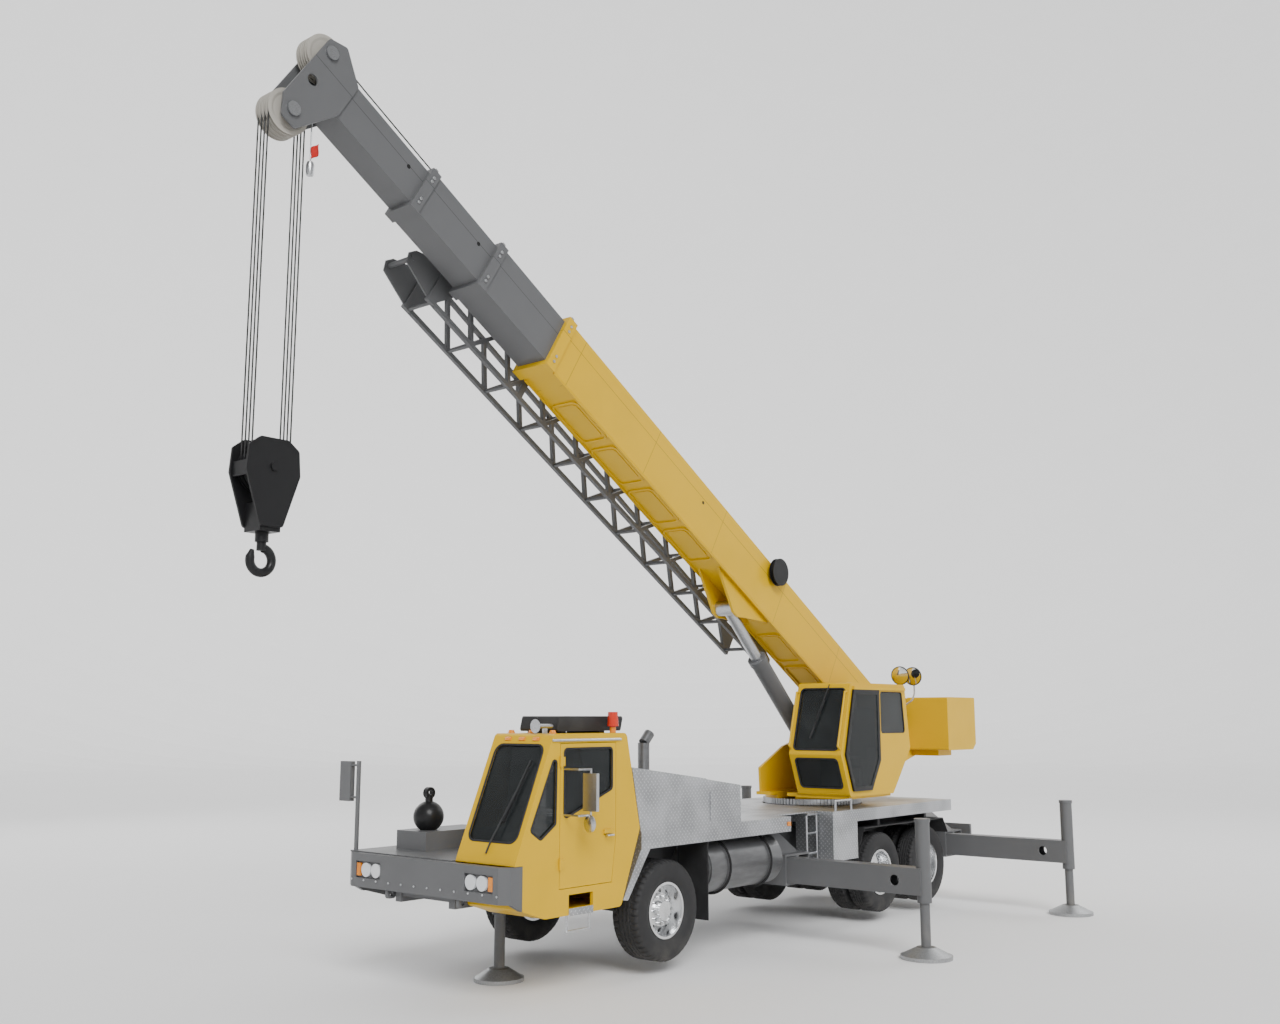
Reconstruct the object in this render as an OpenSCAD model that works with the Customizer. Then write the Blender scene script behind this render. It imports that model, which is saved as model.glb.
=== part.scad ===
// Four-section truck crane set up on its outriggers, millimetres.
// X points to the front of the truck, Y to its left, Z up; the origin is on the ground under the slew axis.

/* [Carrier] */
// Width over the decks and the cab
carrier_w = 2440; // [2300:10:2600]
// Slew axis to the front axle
front_axle_x = 4810; // [4600:10:5100]
// Front axle to the face of the bumper
front_overhang = 2500; // [2400:10:2600]
// Slew axis to the first rear axle
bogie_x = 140; // [80:10:200]
// Distance between the two rear axles
bogie_pitch = 1350; // [1250:10:1400]
// Tail behind the rear outrigger box
tail_over = 90; // [40:5:300]
// Height of the tread-plate decks
deck_z = 1530; // [1500:5:1560]
// Height of the front deck
front_deck_z = 1342; // [1300:2:1360]
// Clear width between the frame rails
rail_gap = 720; // [660:10:760]
// Width of one frame rail
rail_w = 90; // [70:5:110]
// Underside of the frame rails
rail_z = 880; // [860:5:900]
// Gap under the hanging tyres
wheel_lift = 130; // [90:5:170]

/* [Wheels] */
// Diameter of a front tyre
front_tyre_d = 1072; // [1030:2:1090]
// Width of a front tyre
front_tyre_w = 385; // [360:5:400]
// Diameter of a rear tyre
rear_tyre_d = 1054; // [1020:2:1070]
// Width of a rear tyre
rear_tyre_w = 279; // [260:1:290]
// Spacing of twin tyres
twin_pitch = 320; // [305:1:340]
// Bead seat diameter of every rim
rim_d = 571; // [560:1:580]
// Outer tyre wall to the side of the carrier
tyre_inset = 28; // [10:2:50]

/* [Outriggers] */
// Distance between left and right floats
spread = 5760; // [5600:20:5900]
// Slew axis to the left front beam
beam_front_x = 2172; // [2140:4:2200]
// Slew axis to the left rear beam
beam_rear_x = 2172; // [2140:4:2240]
// Left beam to the right beam beside it
beam_pitch = 280; // [260:5:320]
// Height of a beam
beam_h = 307; // [280:1:320]
// Width of a beam
beam_w = 210; // [180:5:225]
// Underside of a beam
beam_z = 704; // [690:2:720]
// Sliding clearance around a beam
beam_clear = 8; // [5:1:12]
// Plate of the outrigger boxes
box_t = 25; // [15:1:30]
// Jack barrel diameter
jack_d = 168; // [160:2:190]
// Jack rod diameter
jack_rod_d = 115; // [100:1:120]
// Top of the jack barrels
jack_top = 1572; // [1540:2:1600]
// Float diameter
float_d = 600; // [500:10:640]
// Front jack ahead of the front axle
front_jack_dx = 1389; // [1350:5:1420]

/* [Cab] */
// Width of the carrier cab
cab_w = 833; // [780:5:860]
// Height of the cab roof
cab_roof_z = 2580; // [2500:10:2640]
// Thickness of a cab wall
cab_wall = 40; // [30:2:50]
// Gap around the doors
door_gap = 6; // [5:1:10]

/* [Upperworks] */
// Radius of the slew ring
ring_r = 700; // [660:5:730]
// Underside of the turning frame
turn_z = 1612; // [1600:2:1630]
// Thickness of the turntable side plates
side_t = 40; // [30:2:50]
// Boom pivot behind the slew axis
pivot_x = 1663; // [1640:1:1690]
// Height of the boom pivot
pivot_z = 2600; // [2580:1:2620]
// Width of the operator's cab
op_w = 822; // [780:2:840]
// Height of the operator's cab roof
op_roof_z = 3208; // [3150:2:3260]
// Rear face of the counterweight behind the slew axis
counter_x = 3251; // [3200:5:3300]
// Width of the counterweight
counter_w = 2080; // [1900:10:2160]

/* [Boom] */
// Boom angle above level
luff = 31; // [25:0.5:40]
// Width of the base section
base_w = 500; // [480:2:520]
// Height of the base section
base_h = 700; // [680:2:720]
// Plate of the boom sections
boom_t = 12; // [10:1:14]
// Pivot to the collar of the base section
base_len = 8600; // [8400:20:8800]
// Shown length of section two
show_2 = 1250; // [1150:10:1400]
// Shown length of section three
show_3 = 1130; // [1120:10:1300]
// Shown length of section four
show_4 = 1320; // [1250:10:1450]
// Step in width from one section to the next
step_w = 56; // [52:1:60]
// Step in height from one section to the next
step_h = 76; // [60:1:80]
// Running clearance at the wear pads
pad_clear = 0.4; // [0.3:0.1:2]

/* [Hook] */
// Pitch diameter of the sheaves
sheave_d = 410; // [380:2:440]
// Pitch of the sheaves along their pin
sheave_pitch = 56; // [52:1:60]
// Rope diameter
rope_d = 16; // [14:0.5:19]
// Head pin to block pin
fall_len = 3520; // [3000:20:3800]

/* [Hidden] */
$fn = 48;
fit = 0.3;
run = 0.4;
half = carrier_w / 2;
bumper_x = front_axle_x + front_overhang;
rail_in = rail_gap / 2;
rail_out = rail_in + rail_w;
front_z = wheel_lift + front_tyre_d / 2;
rear_z = wheel_lift + rear_tyre_d / 2;
front_y = half - tyre_inset - front_tyre_w / 2;
rear_y = half - tyre_inset - rear_tyre_w / 2;
king_y = front_y - front_tyre_w / 2 - 15;
bogie_x2 = bogie_x - bogie_pitch;
jack_y = spread / 2;
beam_in_y = 640;
box_y = half - 165;
beams = [[beam_front_x, 1], [beam_front_x - beam_pitch, -1], [-beam_rear_x, 1],
    [-beam_rear_x - beam_pitch, -1]];
tail_len = beam_rear_x + beam_pitch + beam_w / 2 + beam_clear + box_t + tail_over;
float_h = 130;
jack_low = 620;
front_jack_x = front_axle_x + front_jack_dx;
cab_y = half - cab_w;
dx = front_axle_x - 4810;
bx = bumper_x - 7310;
rail_top = rail_z + 410;
op_y = 359;
op_z = 1692;
op_y1 = op_y + op_w;
plate_y = base_w / 2 + 55;
cl = 50;
w2 = base_w - step_w;
h2 = base_h - step_h;
w3 = w2 - step_w;
h3 = h2 - step_h;
w4 = w3 - step_w;
h4 = h3 - step_h;
len_2 = base_len + show_2;
len_3 = len_2 + show_3;
len_4 = len_3 + show_4;
head_ds = 185;
head_s = len_4 + head_ds;
head_t = -560;
panel_pitch = (base_len - 1220) / 9;
lug_s = 3985;
lug_t = -522;
low_x = -284;
low_z = 1985;
head_x = -pivot_x + head_s * cos(luff) - head_t * sin(luff);
head_z = pivot_z + head_s * sin(luff) + head_t * cos(luff);
lug_x = -pivot_x + lug_s * cos(luff) - lug_t * sin(luff);
lug_z = pivot_z + lug_s * sin(luff) + lug_t * cos(luff);
lift_a = atan2(lug_z - low_z, lug_x - low_x);
lift_len = norm([lug_x - low_x, lug_z - low_z]);
block_z = head_z - fall_len;
sheave_r = sheave_d / 2 + 25;
yellow = [0.97, 0.76, 0.05];
grey = [0.40, 0.42, 0.44];
dark = [0.10, 0.10, 0.11];
plate = [0.78, 0.79, 0.80];
steel = [0.85, 0.86, 0.88];
pane = [0.30, 0.38, 0.42, 0.5];

// Plan helpers: boxes by their limits, slabs of a side outline, round bars between two points
function unit(v) = v / norm(v);
function miter(a, b, c, d) = let (u = unit(b - a), w = unit(c - b), n0 = [-u[1], u[0]], n1 = [-w[1], w[0]])
    b + d * (n0 + n1) / (1 + n0 * n1);
function inset(p, d) = [for (i = [0 : len(p) - 1])
    miter(p[(i + len(p) - 1) % len(p)], p[i], p[(i + 1) % len(p)], d)];
function turn(a, b) = let (d = b - a) d > 180 ? d - 360 : d < -180 ? d + 360 : d;
function bend(a, b, c, r, n) = let (u = unit(a - b), w = unit(c - b), h = acos(u * w) / 2,
        m = b + unit(u + w) * r / sin(h), p = b + u * r / tan(h) - m, q = b + w * r / tan(h) - m,
        s = atan2(p[1], p[0]), e = turn(s, atan2(q[1], q[0])))
    [for (i = [0 : n]) m + r * [cos(s + e * i / n), sin(s + e * i / n)]];
function eased(p, r, n = 5) = [for (i = [0 : len(p) - 1])
    each bend(p[(i + len(p) - 1) % len(p)], p[i], p[(i + 1) % len(p)], r, n)];

module box(a, b) translate(a) cube(b - a);

module slab_xz(p, y0, y1) translate([0, y1, 0]) rotate([90, 0, 0]) linear_extrude(y1 - y0) polygon(p);

module slab_yz(p, x0, x1) translate([x0, 0, 0]) rotate([90, 0, 90]) linear_extrude(x1 - x0) polygon(p);

module slab_xy(p, z0, z1) translate([0, 0, z0]) linear_extrude(z1 - z0) polygon(p);

module bar(p, q, r) translate(p) rotate([0, acos((q - p)[2] / norm(q - p)), atan2((q - p)[1], (q - p)[0])])
    cylinder(h = norm(q - p), r = r, $fn = 24);

module strut(p, q, a) translate(p) rotate([0, acos((q - p)[2] / norm(q - p)), atan2((q - p)[1], (q - p)[0])])
    translate([-a / 2, -a / 2, 0]) cube([a, a, norm(q - p)]);

module pipe(p, r) for (i = [0 : len(p) - 2]) {
    bar(p[i], p[i + 1], r);
    if (i > 0) translate(p[i]) sphere(r = r * 1.12, $fn = 24);
}

module across(x, z, y0, y1, r) translate([x, y1, z]) rotate([90, 0, 0]) cylinder(h = y1 - y0, r = r);

module along(y, z, x0, x1, r) translate([x0, y, z]) rotate([0, 90, 0]) cylinder(h = x1 - x0, r = r);

module on_boom() translate([-pivot_x, 0, pivot_z]) rotate([0, -luff, 0]) children();

// Carrier
module beam_bays() for (b = beams)
    box([b[0] - beam_w / 2 - beam_clear, -half, beam_z - beam_clear],
        [b[0] + beam_w / 2 + beam_clear, half, beam_z + beam_h + beam_clear]);

module outrigger_box(x) {
    x0 = x - beam_pitch - beam_w / 2 - beam_clear - box_t;
    x1 = x + beam_w / 2 + beam_clear + box_t;
    box([x0, -box_y, beam_z - beam_clear - box_t], [x1, box_y, beam_z + beam_h + beam_clear + box_t]);
    for (s = [0, 1]) mirror([0, s, 0])
        slab_yz([[rail_in, beam_z + beam_h], [box_y - 90, beam_z + beam_h], [rail_out + 150, rail_top - 10],
            [rail_in, rail_top - 10]], x0 + 60, x1 - 60);
}

module beam_pads() for (b = beams) mirror([0, b[1] > 0 ? 0 : 1, 0]) translate([b[0], 0, beam_z])
    box([-beam_w / 2 - 1, box_y - 120, -beam_clear - 2], [beam_w / 2 + 1, box_y, -run]);

module front_jack_tube() {
    translate([front_jack_x, 0, jack_low + 60]) cylinder(h = front_deck_z - 40 - jack_low - 60, d = jack_d);
    slab_yz([[-rail_in - 5, rail_z + 350], [-rail_in - 5, rail_z + 20], [-190, 770], [190, 770],
        [rail_in + 5, rail_z + 20], [rail_in + 5, rail_z + 350]], front_jack_x - 70, front_jack_x + 70);
}

module chassis_frame() color(grey) {
    frame_weldment();
    beam_pads();
}

module frame_weldment() difference() {
    union() {
        for (s = [0, 1]) mirror([0, s, 0]) {
            box([-tail_len, rail_in, rail_z], [bumper_x - 60 - fit, rail_out, rail_top]);
            box([-tail_len - 30, 120, rail_z - 60], [-tail_len + 20, half - 60, rail_z + 240]);
        }
        for (x = [-tail_len, -1700, -535, 700, 1300, 2700, 3500 + dx, front_axle_x + 700, bumper_x - 160])
            box([x, -rail_in - 5, rail_z + 60], [x + 90, rail_in + 5, rail_z + 350]);
        box([-tail_len - 30, -140, rail_z - 20], [-tail_len + 20, 140, rail_z + 240]);
        outrigger_box(beam_front_x);
        outrigger_box(-beam_rear_x);
        box([-ring_r + 60, -rail_out, rail_top - 10], [ring_r - 60, rail_out, deck_z - 80]);
        translate([0, 0, rail_top]) cylinder(h = deck_z + 6 - rail_top, r = ring_r - 30);
        front_jack_tube();
    }
    beam_bays();
    translate([front_jack_x, 0, jack_low + 120]) cylinder(h = front_deck_z - 190 - jack_low,
        d = jack_rod_d + 6);
    translate([front_jack_x, 0, jack_low - 100]) cylinder(h = 230, d = jack_rod_d + 2 * run);
    translate([0, 0, 1000]) cylinder(h = 600, r = ring_r - 260);
}

module front_bumper() color(grey) difference() {
    union() {
        slab_xy([[bumper_x - 220, half], [bumper_x - 70, half], [bumper_x, half - 110], [bumper_x,
            110 - half],
            [bumper_x - 70, -half], [bumper_x - 220, -half], [bumper_x - 220, 60 - half], [bumper_x - 96,
            60 - half],
            [bumper_x - 60, 120 - half], [bumper_x - 60, half - 120], [bumper_x - 96, half - 60],
            [bumper_x - 220, half - 60]], 985, front_deck_z - 12);
        for (s = [0, 1]) mirror([0, s, 0]) {
            slab_xz([[bumper_x - 220, 909], [bumper_x - 70, 990], [bumper_x - 70, 1010], [bumper_x - 220,
                1010]],
                half - 60, half);
            slab_xz(eased([[bumper_x - 120, 1000], [bumper_x - 120, 900], [bumper_x - 10, 900],
                [bumper_x - 10, 1000]],
                30), 520, 560);
        }
    }
    for (s = [0, 1]) mirror([0, s, 0]) {
        box([bumper_x - 30, 640, 1080], [bumper_x + 10, 1040, 1250]);
        across(bumper_x - 65, 945, 500, 580, 22);
    }
}

module front_deck() color(grey) {
    x0 = 5400 + dx;
    difference() {
        union() {
            box([x0, -half, front_deck_z - 32], [bumper_x - 60 - fit, cab_y - 7, front_deck_z]);
            for (y = [-rail_out, rail_in - 8]) box([x0, y, rail_top + fit], [bumper_x - 70, y + 28,
                front_deck_z - 20]);
            slab_xz([[bumper_x - 230, 915], [bumper_x - 230, front_deck_z - 20], [x0, front_deck_z - 20],
                [5700 + dx, 830], [6776 + bx, 830]], -half, 40 - half);
            slab_xz(eased([[6250 + dx, front_deck_z - 10], [6550 + dx, front_deck_z - 10], [6470 + dx, 1650],
                [6330 + dx, 1650]], 20), 60, 90);
        }
        across(6400 + dx, 1570, 50, 100, 35);
        box([bumper_x - 221, -half - 1, front_deck_z - 40], [bumper_x, 121 - half, front_deck_z - 12 + fit]);
    }
    box([5900 + dx, -945, front_deck_z - 1], [6850 + dx, -470, 1540]);
    translate([bumper_x - 100, -half + 45, front_deck_z - 1]) cylinder(h = 2277 - front_deck_z, r = 24);
    for (z = [1890, 2230]) bar([bumper_x - 100, -half + 45, z], [bumper_x - 110, -half - 100, z], 12);
    box([bumper_x - 145, -half - 260, 1846], [bumper_x - 85, -half - 80, 2270]);
}

module overhaul_ball() color(dark) translate([6620 + dx, -700, 1540 + fit]) {
    difference() {
        translate([0, 0, 140]) sphere(r = 165);
        translate([0, 0, -100]) cylinder(h = 100, r = 200);
    }
    translate([0, 0, 270]) cylinder(h = 90, r = 42);
    difference() {
        translate([0, 30, 390]) rotate([90, 0, 0]) cylinder(h = 60, r = 62);
        translate([0, 60, 395]) rotate([90, 0, 0]) cylinder(h = 120, r = 30);
    }
}

cab_ring = [[7089 + bx, 909], [7200 + bx, front_deck_z], [6681 + bx, cab_roof_z], [5557 + dx, cab_roof_z],
    [5339 + dx, 1578], [5642 + dx, 806], [6776 + bx, 806]];
door_side = [[6577 + dx, 1069], [6577 + dx, cab_roof_z - 99], [5736 + dx, cab_roof_z - 99], [5736 + dx, 1500],
    [5800 + dx, 1069]];
screen_a = atan2(7200 - 6681 + 0, cab_roof_z - front_deck_z);
screen_len = norm([519, cab_roof_z - front_deck_z]);
quarter = [[6630 + dx, cab_roof_z - 150], [6640 + dx, 1700], [6850 + dx, 1560], [6990 + dx, 1650]];

module on_screen() translate([7200 + bx, (cab_y + half) / 2, front_deck_z]) rotate([0, -screen_a, 0])
    children();

module screen_pane(g, x0, x1) on_screen() slab_yz(eased([[-cab_w / 2 + 75 + g, 215 + g],
    [cab_w / 2 - 75 - g, 215 + g],
    [cab_w / 2 - 75 - g, screen_len - 120 - g], [-cab_w / 2 + 75 + g, screen_len - 120 - g]], 90 - g), x0,
    x1);

module cab_shell() color(yellow) difference() {
    union() {
        difference() {
            slab_xz(eased(cab_ring, 60), cab_y, half);
            difference() {
                slab_xz(eased(inset(cab_ring, cab_wall), 25), cab_y + cab_wall, half - cab_wall);
                box([5000 + dx, cab_y - 10, 700], [8000 + bx, rail_out + 6 + cab_wall,
                    rail_top + fit + cab_wall]);
            }
        }
        box([5600 + dx, rail_out + 20, 1010], [7000 + bx, half - 10, 1050]);
    }
    box([5000 + dx, cab_y - 10, 700], [8000 + bx, rail_out + 6, rail_top + fit]);
    slab_xz(inset(door_side, -door_gap), half - cab_wall - 20, half + 10);
    slab_xz(eased(inset(quarter, 0), 30), half - cab_wall - 20, half + 10);
    slab_xz(eased([[6560 + dx, 1600], [6480 + dx, cab_roof_z - 140], [5700 + dx, cab_roof_z - 140],
        [5600 + dx, 1800]], 60), cab_y - 10, cab_y + cab_wall + 20);
    screen_pane(0, -160, 60);
    translate([5557 + dx, (cab_y + half) / 2, cab_roof_z]) rotate([0, atan2(218, cab_roof_z - 1578), 0])
        slab_yz(eased([[-280, -700], [280, -700], [280, -150], [-280, -150]], 60), -120, 120);
    box([6080 + dx, half - 260, 870], [6440 + dx, half + 10, 1000]);
    box([bumper_x - 222, cab_y - 10, 800], [bumper_x + 10, half + 10, front_deck_z - 8]);
}

module cab_glass() color(pane) {
    screen_pane(run, -26, -16);
    slab_xz(eased(inset(quarter, run), 30), half - 24, half - 16);
    slab_xz(eased(inset([[6560 + dx, 1600], [6480 + dx, cab_roof_z - 140], [5700 + dx, cab_roof_z - 140],
        [5600 + dx, 1800]], run), 60), cab_y + 16, cab_y + 24);
    translate([5557 + dx, (cab_y + half) / 2, cab_roof_z]) rotate([0, atan2(218, cab_roof_z - 1578), 0])
        slab_yz(eased(inset([[-280, -700], [280, -700], [280, -150], [-280, -150]], run), 60), 14, 22);
}

module seat(x, y, z, h) {
    translate([x, y, z]) {
        box([-120, -140, 0], [140, 140, h]);
        slab_xz(eased([[-230, h - 1], [280, h - 1], [290, h + 110], [-230, h + 90]], 30), -240, 240);
        slab_xz(eased([[-240, h + 60], [-110, h + 60], [-220, h + 760], [-320, h + 760]], 40), -225, 225);
    }
}

module cab_interior() color(dark) {
    yc = (cab_y + half) / 2;
    seat(6000 + dx, yc, 1050 + fit, 330);
    slab_xz(eased([[6800 + bx, 1400], [6960 + bx, 1400], [6990 + bx, 1640], [6560 + dx, 1640], [6560 + dx,
        1560]], 20),
        cab_y + cab_wall + run, half - cab_wall - 4);
    bar([6620 + bx, yc, 1560], [6470 + dx, yc, 1790], 30);
    translate([6470 + dx, yc, 1790]) rotate([0, -33, 0]) {
        rotate_extrude() translate([215, 0]) circle(r = 17, $fn = 20);
        for (a = [0, 120, 240]) rotate([0, 0, a]) box([0, -18, -9], [212, 18, 9]);
    }
}

module roof_unit() color(dark) {
    yc = (cab_y + half) / 2;
    slab_xz(eased([[5420 + dx, cab_roof_z + 20], [6420 + dx, cab_roof_z + 20], [6380 + dx, cab_roof_z + 175],
        [5380 + dx, cab_roof_z + 175]], 25), yc - 330, yc + 210);
    for (x = [5650, 6250]) box([x + dx, yc - 300, cab_roof_z + fit], [x + 80 + dx, yc + 180,
        cab_roof_z + 30]);
}

module engine_hood() color(plate) {
    x0 = 3478 + dx;
    y0 = cab_y + 3;
    z0 = deck_z + fit;
    hood = [[4150 + dx, z0], [5313 + dx, z0], [5330 + dx, 1600], [5463 + dx, 2216], [4150 + dx, 2053]];
    difference() {
        slab_xz(hood, y0, half - 4);
        slab_xz(inset(hood, 25), y0 + 25, half - 29);
        box([4180 + dx, y0 + 25, deck_z - 10], [5280 + dx, half - 29, deck_z + 40]);
    }
    difference() {
        slab_xz([[x0, z0], [4150 + dx - run, z0], [4150 + dx - run, 2045], [x0, 1955]], y0, half - 4);
        slab_xz([[x0 + 20, deck_z + 20], [4126 + dx, deck_z + 20], [4126 + dx, 2020], [x0 + 20, 1932]],
            y0 + 20, half - 24);
    }
    box([x0 + 70, half - 5, deck_z + 50], [4080 + dx, half + 6, 1900]);
}

module deck_edge(x0, x1, h) {
    box([x0, -half, deck_z - 14], [x1, half, deck_z]);
    for (s = [0, 1]) mirror([0, s, 0]) box([x0, half - 30, deck_z - h], [x1, half, deck_z - 10]);
    for (x = [x0, x1 - 20]) box([x, -half + 5, deck_z - h], [x + 20, half - 5, deck_z - 10]);
}

module deck_plates() color(plate) {
    deck_edge(2419, 5310 + dx, 180);
    difference() {
        deck_edge(-1937, 1427, 155);
        cylinder(h = 3000, r = ring_r + 20);
    }
    box([1420, -half + 260, deck_z - 14], [2425, half - 260, deck_z]);
    for (s = [0, 1]) mirror([0, s, 0]) difference() {
        box([803, 640, 900], [1420, half - 8, deck_z - 10]);
        box([823, 660, 920], [1400, half - 28, deck_z - 30]);
    }
    for (s = [0, 1]) mirror([0, s, 0]) {
        for (x = [-1850, 1300, 2500, 3400, 4200]) box([x, rail_in, rail_top + fit], [x + 60, rail_out + 60,
            deck_z - 10]);
        slab_xz([[5130 + dx, deck_z - 150], [5290 + dx, deck_z - 150], [5600 + dx, 860], [5520 + dx, 850]],
            half - 90, half - 10);
    }
}

module tanks() color(grey) {
    yt = half - 340;
    along(yt, 1030, 2560, 4005, 300);
    along(yt, 1030, 2535, 4030, 280);
    for (x = [2800, 3640]) {
        along(yt, 1030, x, x + 60, 308);
        box([x, rail_out + fit, 960], [x + 60, yt - 250, 1160]);
    }
    slab_yz(eased([[-half + 50, 780], [-rail_out - 120, 780], [-rail_out - 120, 1330], [-half + 50, 1330]],
        40), 2560, 4000);
    for (x = [2800, 3640]) box([x, -rail_out - 130, 960], [x + 60, -rail_out - fit, 1160]);
}

module engine_exhaust() color(dark) {
    box([3650 + dx, -rail_in + 10, rail_z + 20], [4750 + dx, rail_in - 10, deck_z - 60]);
    for (s = [0, 1]) mirror([0, s, 0])
        box([4150 + dx, rail_in - 11, rail_z + 200], [4300 + dx, rail_in - fit, rail_z + 300]);
    box([3000 + dx, -150, 560], [3660 + dx, 150, rail_z + 50]);
    translate([4650 + dx, 700, 2053 + 163 * 500 / 1313 + run]) {
        rotate([0, -atan2(163, 1313), 0]) cylinder(h = 30, r = 110);
        translate([0, 0, 20]) cylinder(h = 320, r = 66);
        translate([0, 0, 339]) rotate([0, -45, 0]) cylinder(h = 150, r = 60);
    }
}

module spring(x, z, span) {
    for (s = [0, 1]) mirror([0, s, 0]) {
        slab_xz([[x - span, rail_z - fit], [x - span, rail_z - 60], [x - 120, z + 62], [x + 120, z + 62],
            [x + span, rail_z - 60], [x + span, rail_z - fit], [x + span - 60, rail_z - fit],
            [x + span - 60, rail_z - 30],
            [x + 120, z + 122], [x - 120, z + 122], [x - span + 60, rail_z - 30], [x - span + 60,
            rail_z - fit]],
            rail_in + 8, rail_out - 8);
    }
}

module axles() color(dark) {
    box([front_axle_x - 50, -king_y + 20, front_z - 70], [front_axle_x + 50, king_y - 20, front_z + 66]);
    for (s = [-1, 1]) translate([front_axle_x, s * king_y, front_z - 90]) cylinder(h = 180, r = 52);
    spring(front_axle_x, front_z, 620);
    for (x = [bogie_x, bogie_x2]) {
        across(x, rear_z, -rear_y + twin_pitch + 165, rear_y - twin_pitch - 165, 75);
        across(x, rear_z, -rear_y - 10, rear_y + 10, 50 - run);
        translate([x, 0, rear_z]) sphere(r = 215);
        spring(x, rear_z, 560);
    }
    bar([bogie_x2 + 150, 0, rear_z + 30], [bogie_x - 150, 0, rear_z + 30], 45);
    bar([bogie_x + 150, 0, rear_z - 40], [3000 + dx - fit, 0, 600], 42);
}

module mud_guards() color(dark) for (s = [0, 1]) mirror([0, s, 0]) {
    xa = bogie_x + rear_tyre_d / 2;
    xb = bogie_x2 - rear_tyre_d / 2;
    y0 = rear_y - twin_pitch - rear_tyre_w / 2;
    zt = wheel_lift + rear_tyre_d + 80;
    slab_xz([[xa + 70, 1060], [xa + 84, 1064], [xa - 60, zt + 14], [xb + 60, zt + 14], [xb - 84, 1064],
        [xb - 70, 1060], [xb + 52, zt], [xa - 52, zt]], y0, half - 12);
    for (x = [bogie_x, bogie_x2]) box([x - 30, y0 + 100, zt + 10], [x + 30, half - 60, deck_z - 14 - fit]);
    box([front_axle_x - front_tyre_d / 2 - 190, king_y - 40, 480],
        [front_axle_x - front_tyre_d / 2 - 178, half - 35, deck_z - 14 - fit]);
}

module slew_ring() color(steel) difference() {
    n = 84;
    slab_xy([for (i = [0 : n - 1], k = [[-0.5, 0], [-0.24, 0], [-0.12, 22], [0.12, 22], [0.24, 0]])
        (ring_r - 22 + k[1]) * [cos((i + k[0]) * 360 / n), sin((i + k[0]) * 360 / n)]], deck_z + 6 + fit,
            turn_z - run);
    cylinder(h = 3000, r = ring_r - 110);
}

module lamps() color([0.95, 0.6, 0.2]) {
    for (s = [0, 1]) mirror([0, s, 0]) {
        for (y = [720, 880]) translate([bumper_x - 30 + fit, y, 1165]) rotate([0, 90, 0]) cylinder(h = 26,
            r = 72);
        box([bumper_x - 30 + fit, 970, 1100], [bumper_x - 6, 1030, 1230]);
        box([-tail_len - 48, 760, 940], [-tail_len - 30 - fit, 1080, 1080]);
        box([2440, half + fit, deck_z - 110], [2500, half + 14, deck_z - 60]);
    }
    translate([5640 + dx, half - 125, cab_roof_z + fit]) {
        cylinder(h = 70, r = 34);
        translate([0, 0, 69]) cylinder(h = 150, r1 = 62, r2 = 52);
    }
    for (y = [cab_y + 120, (cab_y + half) / 2, half - 120])
        translate([6570 + bx, y, cab_roof_z + fit]) cylinder(h = 34, r1 = 40, r2 = 26);
}

module grab_rails() color(steel) {
    pipe([[6430 + dx, half - 40, 806 - fit], [6430 + dx, half - 40, 640], [6090 + dx, half - 40, 640],
        [6090 + dx, half - 40, 806 - fit]], 14);
    for (s = [-1, 1]) {
        for (x = [1470, 1710]) bar([x, s * (half - 230), 700], [x, s * (half - 230), deck_z - 20], 16);
        for (z = [760, 1010, 1260]) bar([1470, s * (half - 230), z], [1710, s * (half - 230), z], 14);
        box([1440, s * (half - 245) - 55, deck_z - 40], [1740, s * (half - 245) + 55, deck_z - 14 - fit]);
        pipe([[1300, s * (half - 40), deck_z + fit], [1300, s * (half - 40), deck_z + 130],
            [900, s * (half - 40), deck_z + 130], [900, s * (half - 40), deck_z + fit]], 14);
    }
    translate([6620 + dx, half - 260, cab_roof_z + 74]) {
        rotate([0, 90, 0]) cylinder(h = 60, r1 = 22, r2 = 70);
        rotate([0, -90, 0]) cylinder(h = 180, r = 23);
        box([-110, -8, -74 + fit], [-50, 8, -10]);
    }
}

window_side = [[6520 + dx, 1740], [6520 + dx, cab_roof_z - 150], [5790 + dx, cab_roof_z - 150], [5790 + dx,
    2010]];

hinge_x = 6577 + dx + 3;

module cab_door() {
    color(yellow) difference() {
        slab_xz(door_side, half - cab_wall, half);
        slab_xz(eased(window_side, 40), half - cab_wall - 10, half + 10);
    }
    color(yellow) for (z = [1250, 2250]) {
        translate([hinge_x, half + 14 + fit, z]) cylinder(h = 110, r = 14);
        box([hinge_x - 60, half - 4, z + 10], [hinge_x - 4, half + 14, z + 100]);
    }
    color(pane) slab_xz(eased(inset(window_side, run), 40), half - 24, half - 16);
    color(dark) box([5800 + dx, half - 1, 1560], [5930 + dx, half + 22, 1600]);
}

module door_mirror() color(steel) {
    for (z = [1780, 2230]) pipe([[6520 + dx, half + fit, z], [6520 + dx, half + 200, z], [6380 + dx,
        half + 240, z]], 11);
    bar([6385 + dx, half + 238, 1770], [6385 + dx, half + 238, 2240], 11);
    box([6365 + dx, half + 150, 1820], [6405 + dx, half + 330, 2190]);
}

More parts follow.
